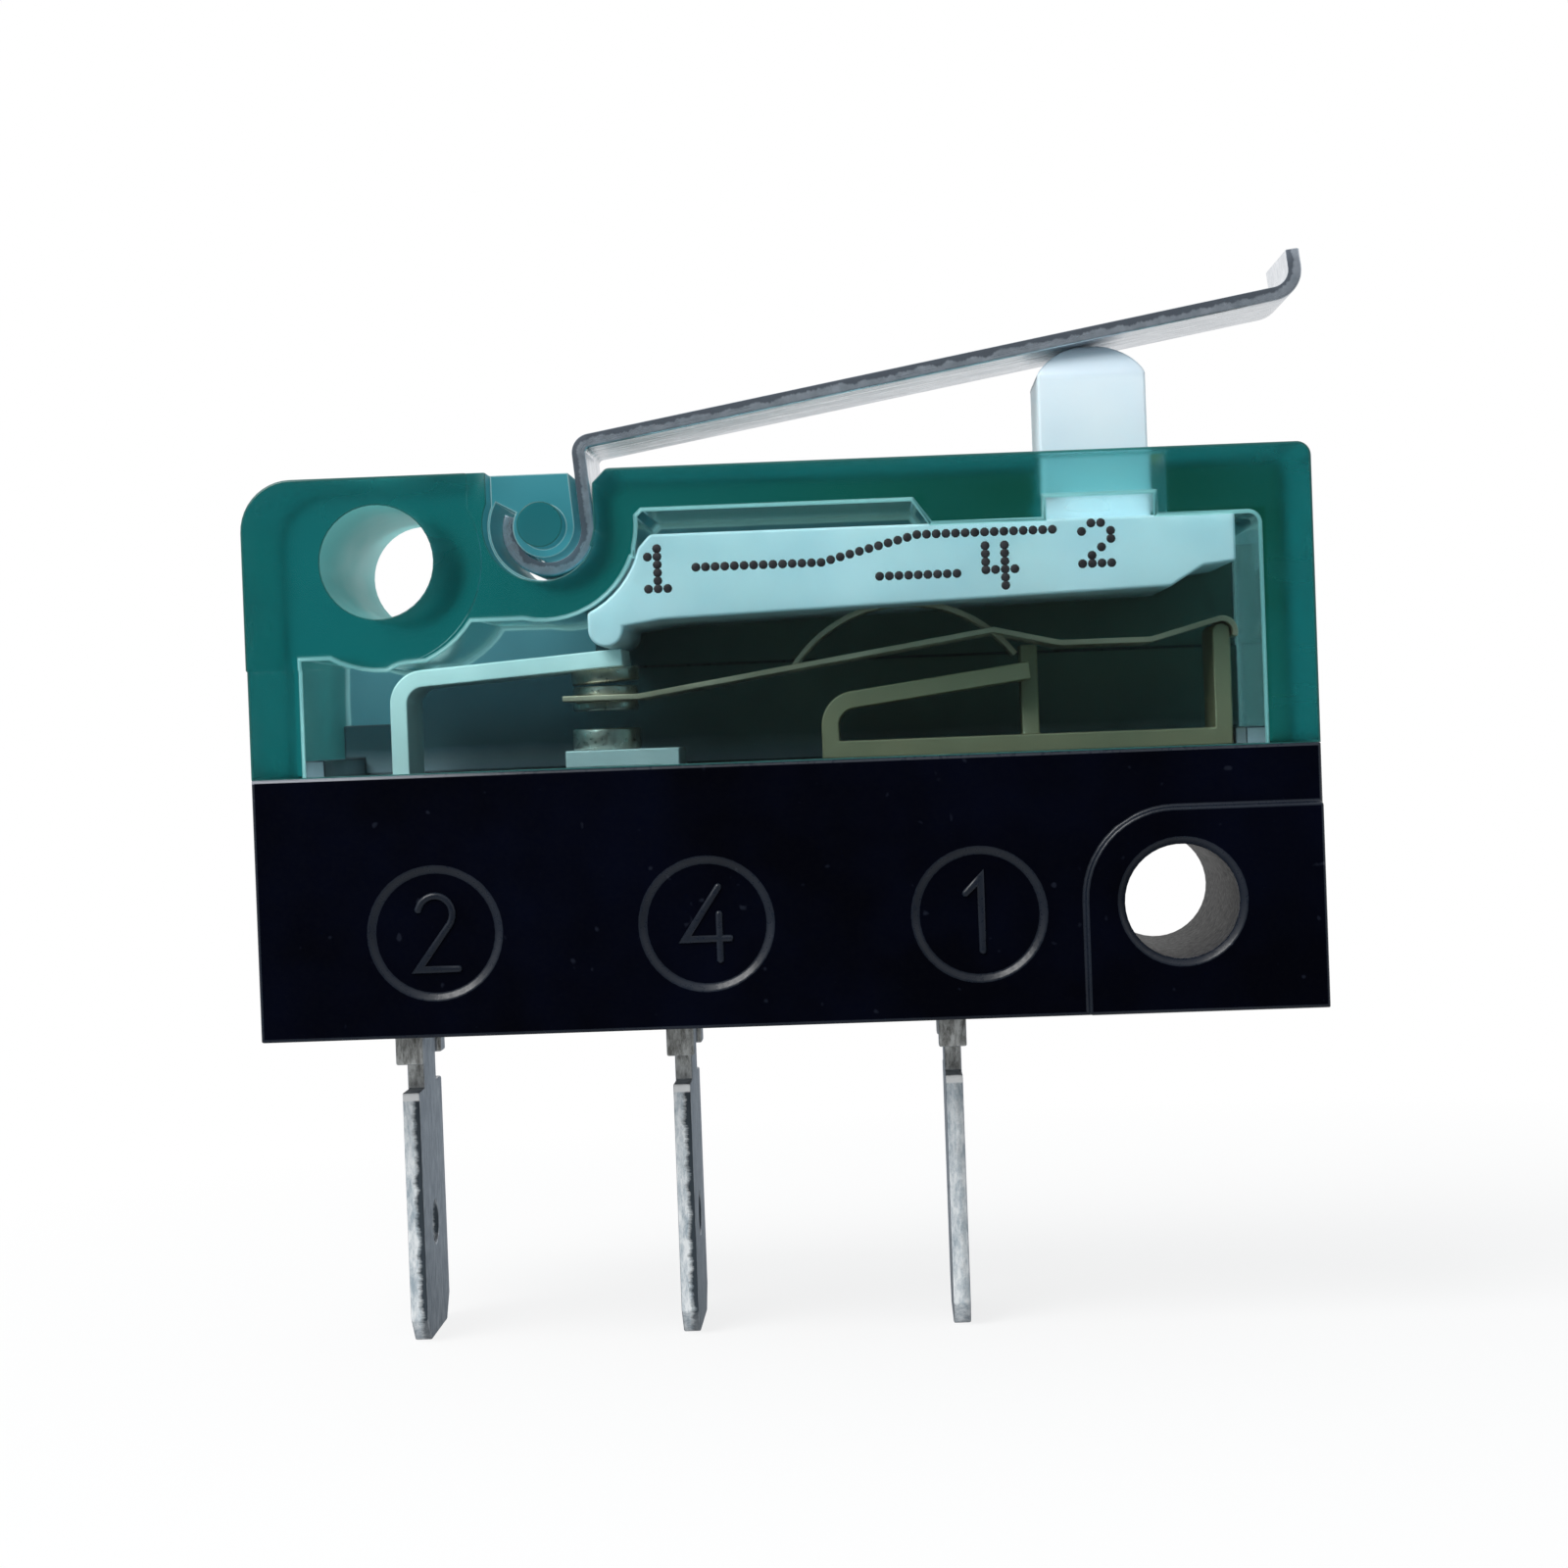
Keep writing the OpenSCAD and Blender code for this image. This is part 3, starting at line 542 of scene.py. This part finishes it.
plunger = finished("plunger", "plunger", plunger_edge, steps=3)
plunger.data.materials.append(milky_white())


# Housing: the clear green upper half of the case, one moulding, welded down on the base.
# The windows are polished and the outer faces round them finely frosted. The bore, the hook's pocket and
# the inside of the rear window are matt from the mould's cores. The matt greens are tinted lighter or darker
# by place as painted light and shade, and the rounded edges are painted pale green as highlights, turning
# dark green on the outer faces as painted shade along the outline.

touch = 0.02
window_y = 4.15
end_wall_x = -24.65
window_right = 2.65
window_boxes = (((end_wall_x, joint_z), (window_right, 7.7)), ((-20.9, joint_z), (window_right, 8.6)),
                ((-17.6, joint_z), (window_right, 10.9)), ((-15.1, joint_z), (-6.8, 11.6)))
mask_soft = 0.05
bore = (-22.2, 10.3)
bore_ring = 2.95
bore_r = 1.65
pad_r = 2.0
pad_end = 1.6
boss = (-17.6, 11.2)
boss_ring = 2.6
boss_stub_r = 0.5
hook_ring = 2.3
pocket_reach = 1.75
pocket_right = 2.0
pocket_top = 12.65
pocket_y = 3.75
case_middle = (-11.0, 4.8)
case_half = (15.0, 7.9)
corner_r = 1.45
small_corner_r = 0.4
outline_in = 0.15
joint_clear = 0.1
window_edge = 0.13
outline_edge = 0.07
face_edge = 0.03
skin_y = (4.4, 4.6)


def box_mask(tree, flat, low, high):
    """1 inside a rectangle in X and Z, in mm, and 0 beyond its edge."""
    middle = ((low[0] + high[0]) / 2, 0, (low[1] + high[1]) / 2)
    off = add(tree, "ShaderNodeVectorMath", {0: flat, 1: middle}, operation="SUBTRACT").outputs[0]
    off = axes(tree, add(tree, "ShaderNodeVectorMath", {0: off}, operation="ABSOLUTE").outputs[0])
    over = math_node(tree, "MAXIMUM", math_node(tree, "SUBTRACT", off["X"], (high[0] - low[0]) / 2),
                     math_node(tree, "SUBTRACT", off["Z"], (high[1] - low[1]) / 2))
    return levels(tree, over, -mask_soft, mask_soft, 1, 0)


def window_mask(tree, place):
    """1 over the windows: inside any of their rectangles, and outside the walls round bore and boss."""
    in_mm = (1 / MM, 0, 1 / MM)
    flat = add(tree, "ShaderNodeVectorMath", {0: place, 1: in_mm}, operation="MULTIPLY").outputs[0]
    clear = 0.0
    for low, high in window_boxes:
        clear = math_node(tree, "MAXIMUM", clear, box_mask(tree, flat, low, high))
    for (x, z), r in ((bore, bore_ring), (boss, boss_ring)):
        off = add(tree, "ShaderNodeVectorMath", {0: flat, 1: (x, 0, z)}, operation="DISTANCE")
        beyond = levels(tree, off.outputs["Value"], r - mask_soft, r + mask_soft)
        clear = math_node(tree, "MINIMUM", clear, beyond)
    return clear


def blend(tree, share, first, second):
    """A mix of two numbers, each a value or a socket."""
    return add(tree, "ShaderNodeMix", {0: share, 2: first, 3: second}).outputs[0]


def clear_green(name, through, rough, tint, polished=False, outer_tint=None):
    """Green tinted plastic: what passes is dimmed by its depth, red most of all. Where it's polished, the
    windows are nearly smooth and faint milky clouds lie in the skin. An outer tint takes the tint's place
    on the outer faces."""
    material, tree, shader, place = finish(name)
    at = place["Object"]
    flow = noise(tree, at, scale=240, stretch=(1, 1, 2.5))
    frost = levels(tree, flow, 0.3, 0.7, rough * 0.8, rough * 1.2)
    colour = tint
    if polished:
        frost = blend(tree, window_mask(tree, at), frost, 0.05)
        milky = levels(tree, noise(tree, at, scale=210, detail=4, rough=0.6), 0.34, 0.66)
        colour = mix(tree, milky, (0.78, 0.85, 0.87, 1), tint)
    if outer_tint:
        outer = over_span(tree, math_node(tree, "ABSOLUTE", axes(tree, at)["Y"]), skin_y)
        colour = mix(tree, outer, tint, outer_tint)
    plug(tree, shader, {
        "Base Color": colour,
        "Roughness": frost,
        "Normal": bump(tree, flow, 0.01 * MM, 0.4),
        "Transmission Weight": through,
        "IOR": 1.5,
    })
    dimming = add(tree, "ShaderNodeVolumeAbsorption", {"Color": (0.0, 0.65, 0.655, 1), "Density": 500.0})
    tree.links.new(dimming.outputs[0], tree.nodes["Material Output"].inputs["Volume"])
    return material


def housing_edges(middle):
    """Wide edges round the inside of the windows, plain ones along the outline, fine ones at the joint and on
    the faces, and none on the step of the fixing pad. The outline is a rectangle with rounded corners, and an
    edge counts as on it where its distance past the corner's centre is nearly the corner's radius."""
    x, y, z = middle.T
    above = z > joint_z + joint_clear
    corner = np.where(x < case_middle[0], corner_r, small_corner_r)
    past = np.abs([x - case_middle[0], z - case_middle[1]]) - np.array(case_half)[:, None] + corner
    outline = np.hypot(*np.maximum(past, 0)) > corner - outline_in
    hook = np.hypot(x - boss[0], z - boss[1]) < hook_ring
    window = np.abs(np.abs(y) - window_y) < touch
    step = (np.abs(y) > near_face_y) & (np.hypot(x - bore[0], z - bore[1]) > pad_r) & (x < boss[0] - pad_end)
    return np.select([window & above, outline & above & ~hook, step & above],
                     [window_edge, outline_edge, 0.0], face_edge)


def rear_window(middle, normal):
    """The inside of the rear window wall."""
    return (np.abs(middle[:, 1] - window_y) < touch) & (normal[:, 1] < -0.9)


def bore_walls(middle, normal):
    """The wall of the upper fixing hole and the inside of the left end wall."""
    hole = (np.hypot(middle[:, 0] - bore[0], middle[:, 2] - bore[1]) < bore_r) & (np.abs(normal[:, 1]) < 0.3)
    return hole | ((np.abs(middle[:, 0] - end_wall_x) < touch) & (normal[:, 0] > 0.9))


def hook_walls(middle, normal):
    """The walls of the hook's slot and pocket, and the pocket's floors."""
    x, z = middle[:, 0] - boss[0], middle[:, 2] - boss[1]
    near = (x > -pocket_reach) & (x < pocket_right) & (z > -pocket_reach) & (middle[:, 2] < pocket_top)
    floor = np.abs(np.abs(middle[:, 1]) - pocket_y) < touch
    return near & ((np.abs(normal[:, 1]) < 0.3) | floor)


def boss_faces(middle, normal):
    """The end faces of the stub that is left of the boss."""
    stub = np.hypot(middle[:, 0] - boss[0], middle[:, 2] - boss[1]) < boss_stub_r
    return stub & (np.abs(middle[:, 1]) > near_face_y)


housing = finished("housing", "case", housing_edges, steps=3)
housing.visible_shadow = False
housing.data.materials.append(clear_green("clear_green", through=1.0, rough=0.24, tint=(1, 1, 1, 1),
                                          polished=True))
# The four matt greens are one plastic whose tints, lighter or darker by place, are painted light and shade.
for name, through, rough, tint, faces in (("matt_window", 0.3, 0.5, (0.09, 0.28, 0.35, 1), rear_window),
                                          ("matt_bore", 0.35, 0.5, (0.13, 0.58, 0.58, 1), bore_walls),
                                          ("matt_pocket", 0.45, 0.45, (0.05, 0.4, 0.48, 1), hook_walls),
                                          ("matt_boss", 0.7, 0.3, (0.015, 0.34, 0.39, 1), boss_faces)):
    paint(housing, clear_green(name, through, rough, tint), faces)
# bright_edge paints every rounded edge pale green as a painted highlight, and dark green on the outer faces
# as painted shade along the outline.
housing.modifiers["rounding"].material = len(housing.data.materials)
housing.data.materials.append(clear_green("bright_edge", through=0.45, rough=0.35, tint=(0.5, 0.78, 0.8, 1),
                                          outer_tint=(0.01, 0.16, 0.15, 1)))


# Print: a change-over contact diagram with its terminal numbers, put on the front window in black ink.
# An ink-jet head lays it down dot by dot, so each dot is a low drop that stands on the plastic.

dot_pitch = np.array([0.27, 0.225])
dot_r = 0.13
dot_top_share = 0.72
dot_h = 0.014
dot_sink = 0.003
print_face = -4.95
print_corner = np.array([-14.6, 10.5])
figures = {
    "1": [".#.", "##.", ".#.", ".#.", ".#.", "###"],
    "2": [".##.", "#..#", "...#", "..#.", ".#..", "####"],
    "4": ["#.#.", "#.#.", "#.#.", "####", "..#.", "..#."],
}


def figure_dots(figure, column, row):
    """Columns and rows of a figure's dots, with its top left dot at that column and row."""
    marks = np.array([list(line) for line in figures[figure]])
    return np.argwhere(marks == "#")[:, ::-1] + [column, row]


def line_dots(start, end):
    """Dots a pitch apart along a straight line."""
    count = int(round(np.abs(np.subtract(end, start)).max())) + 1
    return np.linspace(start, end, count)


def ink_drops(cells):
    """A ten-sided drop at each cell: a rim sunk in the face, and a smaller top that stands proud of it."""
    sides = 10
    turn = np.arange(sides) * 2 * math.pi / sides
    ring = dot_r * np.stack([np.cos(turn), np.zeros(sides), np.sin(turn)], axis=1)
    drop = np.vstack([ring + [0, dot_sink, 0], ring * dot_top_share - [0, dot_h, 0]])
    places = print_corner + cells * dot_pitch * [1, -1]
    centres = np.stack([places[:, 0], np.full(len(cells), print_face), places[:, 1]], axis=1)
    points = (centres[:, None, :] + drop[None]).reshape(-1, 3)
    start = np.arange(len(cells))[:, None] * 2 * sides
    here = np.arange(sides)
    there = (here + 1) % sides
    quads = start[:, :, None] + np.stack([here, there, there + sides, here + sides], axis=1)[None]
    faces = quads.reshape(-1, 4).tolist() + (start + here).tolist() + (start + here + sides).tolist()
    return points, faces


def black_ink():
    """Dried ink: black with fine grey blotches, which are also the duller spots."""
    material, tree, shader, place = finish("black_ink")
    blotch = levels(tree, noise(tree, place["Object"], scale=5000, detail=3, rough=0.6), 0.3, 0.7)
    plug(tree, shader, {
        "Base Color": mix(tree, blotch, (0.006, 0.008, 0.012, 1), (0.02, 0.024, 0.03, 1)),
        "Roughness": levels(tree, blotch, 0, 1, 0.45, 0.65),
    })
    return material


cells = np.vstack([figure_dots("1", 0, 0.5), line_dots((5, 3), (18, 3)), line_dots((19, 2.7), (28, 0)),
                   line_dots((29, 0), (42, 0)), figure_dots("2", 45, -0.6),
                   line_dots((24, 5), (32, 5)), figure_dots("4", 35, 1.7)])
ink = new_piece("contact_diagram", *ink_drops(cells), "case", "black_plastic")
ink.data.materials.append(black_ink())


# Lever: a strip of rolled steel, sheared to width, hooked round the housing's boss and bent twice.
# It isn't fixed: the hook turns on the boss, the arm lies on the plunger and the tip curls up.

strip_t = 0.4
strip_w = 4.8
rolled_r = 0.07
burr_r = 0.03
end_cut = 0.03
hook_r = 0.94
hook_end = 158
leg_lean = 5
leg_l = 2.05
bend_r = 0.15
dome = np.array([-1.85, 14.1])
dome_r = 1.88
arm_beyond = 5.65
tip_r = 0.5
tip_turn = 87
tip_l = 0.5


def bearing(angle):
    """Unit vector in XZ at an angle in degrees: its cosine and sine."""
    return np.array([math.cos(math.radians(angle)), math.sin(math.radians(angle))])


def bend_arc(centre, r, start, end, steps):
    """Points along an arc in XZ between two angles in degrees: the centre plus r times cosine and sine."""
    turn = np.radians(np.linspace(start, end, steps + 1))[:, None]
    return centre + r * np.hstack([np.cos(turn), np.sin(turn)])


def lever_path():
    """The middle line of the strip: round the boss, up the leg, over the bend, along an arm whose
    underside lies on the plunger's dome, and round the curled tip. The arm touches the circles of bend and
    dome, so it rises by the angle of the line between their centres plus the arc sine of the difference of
    their radii over that line's length."""
    pivot = np.array(boss)
    leg_top = pivot + (hook_r + strip_t / 2) * bearing(leg_lean) + leg_l * bearing(90 + leg_lean)
    bend = leg_top + (bend_r + strip_t / 2) * bearing(leg_lean)
    run = np.linalg.norm(dome - bend)
    rise = math.degrees(math.atan2(*(dome - bend)[::-1]) + math.asin((dome_r - bend_r) / run))
    tip = bend + (run + arm_beyond) * bearing(rise) + (bend_r + strip_t + tip_r) * bearing(rise + 90)
    curl = bend_arc(tip, tip_r + strip_t / 2, rise - 90, rise + tip_turn - 90, 20)
    return np.vstack([bend_arc(pivot, hook_r + strip_t / 2, hook_end, 360 + leg_lean, 60),
                      bend_arc(bend, bend_r + strip_t / 2, 180 + leg_lean, 90 + rise, 12),
                      curl, curl[-1] + tip_l * bearing(rise + tip_turn)])


def sheared_profile(steps=4):
    """Section of a sheared strip: a rectangle whose lower corners are rolled over by the punch and
    whose upper ones are nearly sharp, each a quarter circle."""
    turn = np.linspace(0, math.pi / 2, steps)
    corners = []
    for quarter, (up, out), r in zip(range(4), ((1, 1), (-1, 1), (-1, -1), (1, -1)),
                                     (burr_r, rolled_r, rolled_r, burr_r)):
        centre = np.array([up * (strip_t / 2 - r), out * (strip_w / 2 - r)])
        angle = turn + quarter * math.pi / 2
        corners.append(centre + r * np.stack([np.cos(angle), np.sin(angle)], axis=1))
    return np.vstack(corners)


path = lever_path()
profile = sheared_profile()
first, last = outwards(path) * end_cut
path = np.vstack([path[0], path[0] - first, path[1:-1], path[-1] - last, path[-1]])
swell = np.ones((len(path), 2))
swell[[0, -1]] = [1 - 2 * end_cut / strip_t, 1 - 2 * end_cut / strip_w]
lever = new_piece("lever_strip", carried(path, profile, swell).reshape(-1, 3),
                  tube_faces(len(path), len(profile)), "lever", "lever_steel")
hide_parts("lever")
keep_flats(lever)
along = np.concatenate([[0], np.cumsum(np.linalg.norm(np.diff(path, axis=0), axis=1))])
strip_uv = np.stack(np.broadcast_arrays(along[:, None], profile[None, :, 0]), axis=-1).reshape(-1, 2)
strip_uv = strip_uv[read(lever.data.loops, "vertex_index", 1, np.int32)]
lever.data.uv_layers.new(name="strip").data.foreach_set("uv", strip_uv.astype(np.float32).ravel())


def rolled_steel():
    """Rolled steel on the strip's own length and thickness, in mm: streaks along the flats, and on the
    sheared edges a torn, dark upper band over a burnished one with a ragged line between."""
    material, tree, shader, place = finish("rolled_steel")
    strip = axes(tree, place["UV"])
    width = math_node(tree, "MULTIPLY", axes(tree, place["Object"])["Y"], 1 / MM)
    spread = add(tree, "ShaderNodeCombineXYZ", {0: strip["X"], 1: width, 2: strip["Y"]}).outputs[0]
    edge_face = levels(tree, math_node(tree, "ABSOLUTE", axes(tree, place["Normal"])["Y"]), 0.6, 0.8)
    ragged = noise(tree, spread, scale=1.6, detail=4, rough=0.65, stretch=(1, 0.05, 0.05))
    ragged = levels(tree, ragged, 0.3, 0.7, -0.07, 0.13)
    torn = levels(tree, math_node(tree, "SUBTRACT", strip["Y"], ragged), -0.03, 0.03)
    torn = math_node(tree, "MULTIPLY", torn, edge_face)
    streak = noise(tree, spread, scale=6, detail=3, rough=0.6, stretch=(0.05, 1, 1))
    fleck = levels(tree, noise(tree, spread, scale=2.4, detail=4, rough=0.7), 0.35, 0.7)
    plain = mix(tree, fleck, (0.76, 0.79, 0.83, 1), (0.58, 0.61, 0.65, 1))
    burnished = mix(tree, fleck, (0.44, 0.49, 0.56, 1), (0.28, 0.325, 0.38, 1))
    edge = mix(tree, torn, burnished, (0.105, 0.125, 0.155, 1))
    plug(tree, shader, {
        "Base Color": mix(tree, edge_face, plain, edge),
        "Roughness": blend(tree, torn, levels(tree, streak, 0.3, 0.7, 0.22, 0.4), 0.6),
        "Normal": bump(tree, math_node(tree, "ADD", streak, fleck), 0.004 * MM),
        "Metallic": levels(tree, edge_face, 0, 1, 1.0, 0.6),
    })
    return material


lever.data.materials.append(rolled_steel())


# Studio: a pale table top that fades to white round the switch, a white surround that is dimmer behind
# the viewer and duller and greener to the right through the plastic, and one soft lamp at the upper left.

scene = bpy.context.scene
scene.view_settings.view_transform = "Standard"
table_z = cad_box[0].z
table_half = 1.5
shadow_fade = (15, 55)
gloss_fade = (-30, 30)
near_gloss = 0.07
tone_left = (0.94, 0.98, 1.0, 1)
tone_steps = ((-0.165, 0.02, (0.36, 0.43, 0.29, 1)), (0.02, 0.09, (0.2, 0.26, 0.12, 1)),
              (0.13, 0.16, (0.9, 1.0, 1.0, 1)))

table_mesh = bpy.data.meshes.new("table_top")
table_corners = table_half * np.array([[-1, -1], [1, -1], [1, 1], [-1, 1]])
table_mesh.from_pydata(np.column_stack([table_corners, np.full(4, table_z)]), [], [(0, 1, 2, 3)])
table_top = bpy.data.objects.new("table_top", table_mesh)
scene.collection.objects.link(table_top)


def seen_rays(tree):
    """The kinds of ray, and 1 for those from the camera, off gloss and through glass that haven't met a
    dull surface yet."""
    rays = add(tree, "ShaderNodeLightPath").outputs
    either = math_node(tree, "MAXIMUM", rays["Is Camera Ray"], rays["Is Glossy Ray"])
    either = math_node(tree, "MAXIMUM", either, rays["Is Transmission Ray"])
    shown = math_node(tree, "LESS_THAN", rays["Diffuse Depth"], 0.5)
    return rays, math_node(tree, "MULTIPLY", shown, either)


def pale_table():
    """A pale matt top that glows white: a little less near the switch, so that its shadow stays, and far
    less in the gloss of what faces the viewer."""
    material, tree, shader, place = finish("pale_table")
    plug(tree, shader, {"Base Color": (0.86, 0.87, 0.88, 1), "Roughness": 0.7, "Specular IOR Level": 0.1})
    off = add(tree, "ShaderNodeVectorMath", {0: place["Object"]}, operation="LENGTH").outputs["Value"]
    rays, seen = seen_rays(tree)
    share = math_node(tree, "MULTIPLY", seen, over_span(tree, off, shadow_fade, 0.8, 1.0))
    gloss = over_span(tree, axes(tree, place["Object"])["Y"], gloss_fade, near_gloss, 0.9)
    gloss = blend(tree, rays["Is Glossy Ray"], 1.0, gloss)
    glow = add(tree, "ShaderNodeEmission", {"Color": (1, 1, 1, 1), "Strength": gloss})
    mixed = add(tree, "ShaderNodeMixShader", {0: share, 1: shader.outputs[0], 2: glow.outputs[0]})
    tree.links.new(mixed.outputs[0], tree.nodes["Material Output"].inputs["Surface"])
    return material


table_mesh.materials.append(pale_table())

world = bpy.data.worlds.new("white_surround")
scene.world = world
world.use_nodes = True
world.cycles.sampling_method = "NONE"
tree = world.node_tree
tree.nodes.clear()
rays, seen = seen_rays(tree)
towards = axes(tree, add(tree, "ShaderNodeTexCoord").outputs["Generated"])
gloss = levels(tree, towards["Y"], -0.9, 0.1, near_gloss, 1.0)
strength = blend(tree, rays["Is Glossy Ray"], 1.0, gloss)
tone = tone_left
for start, end, colour in tone_steps:
    tone = mix(tree, levels(tree, towards["X"], start, end), tone, colour)
tone = mix(tree, rays["Is Transmission Ray"], (1, 1, 1, 1), tone)
plain = add(tree, "ShaderNodeBackground", {"Color": (0.92, 0.97, 1.0, 1), "Strength": 0.58})
shown = add(tree, "ShaderNodeBackground", {"Color": tone, "Strength": strength})
both = add(tree, "ShaderNodeMixShader", {0: seen, 1: plain.outputs[0], 2: shown.outputs[0]})
add(tree, "ShaderNodeOutputWorld", {"Surface": both.outputs[0]})

lamp = bpy.data.lights.new("soft_lamp", "AREA")
lamp.shape = "DISK"
lamp.size = 0.12
lamp.energy = 0.29
lamp.color = (1.0, 0.99, 0.97)
lamp_stand = bpy.data.objects.new("soft_lamp", lamp)
scene.collection.objects.link(lamp_stand)
lamp_aim = Vector((-0.011, 0.0, 0.004))
lamp_stand.location = (-0.10, -0.10, 0.14)
lamp_stand.rotation_euler = (lamp_aim - lamp_stand.location).to_track_quat("-Z", "Y").to_euler()

picture_px = 1600
focal_px = 3399.5
camera = bpy.data.cameras.new("photo_view")
camera.sensor_width = 36.0
camera.lens = camera.sensor_width * focal_px / picture_px
camera.clip_start = 0.005
camera.clip_end = 20.0
camera_stand = bpy.data.objects.new("photo_view", camera)
scene.collection.objects.link(camera_stand)
camera_place = Vector((-8.2111, -98.1944, 5.1747)) * MM
yaw, pitch, roll = 0.0299735, -0.0161179, 0.0368991
turned = (Matrix.Rotation(yaw, 3, "Z") @ Matrix.Rotation(pitch, 3, "X") @ Matrix.Rotation(roll, 3, "Y")
          @ Matrix.Rotation(math.radians(90), 3, "X"))
camera_stand.matrix_world = Matrix.Translation(camera_place) @ turned.to_4x4()
scene.camera = camera_stand
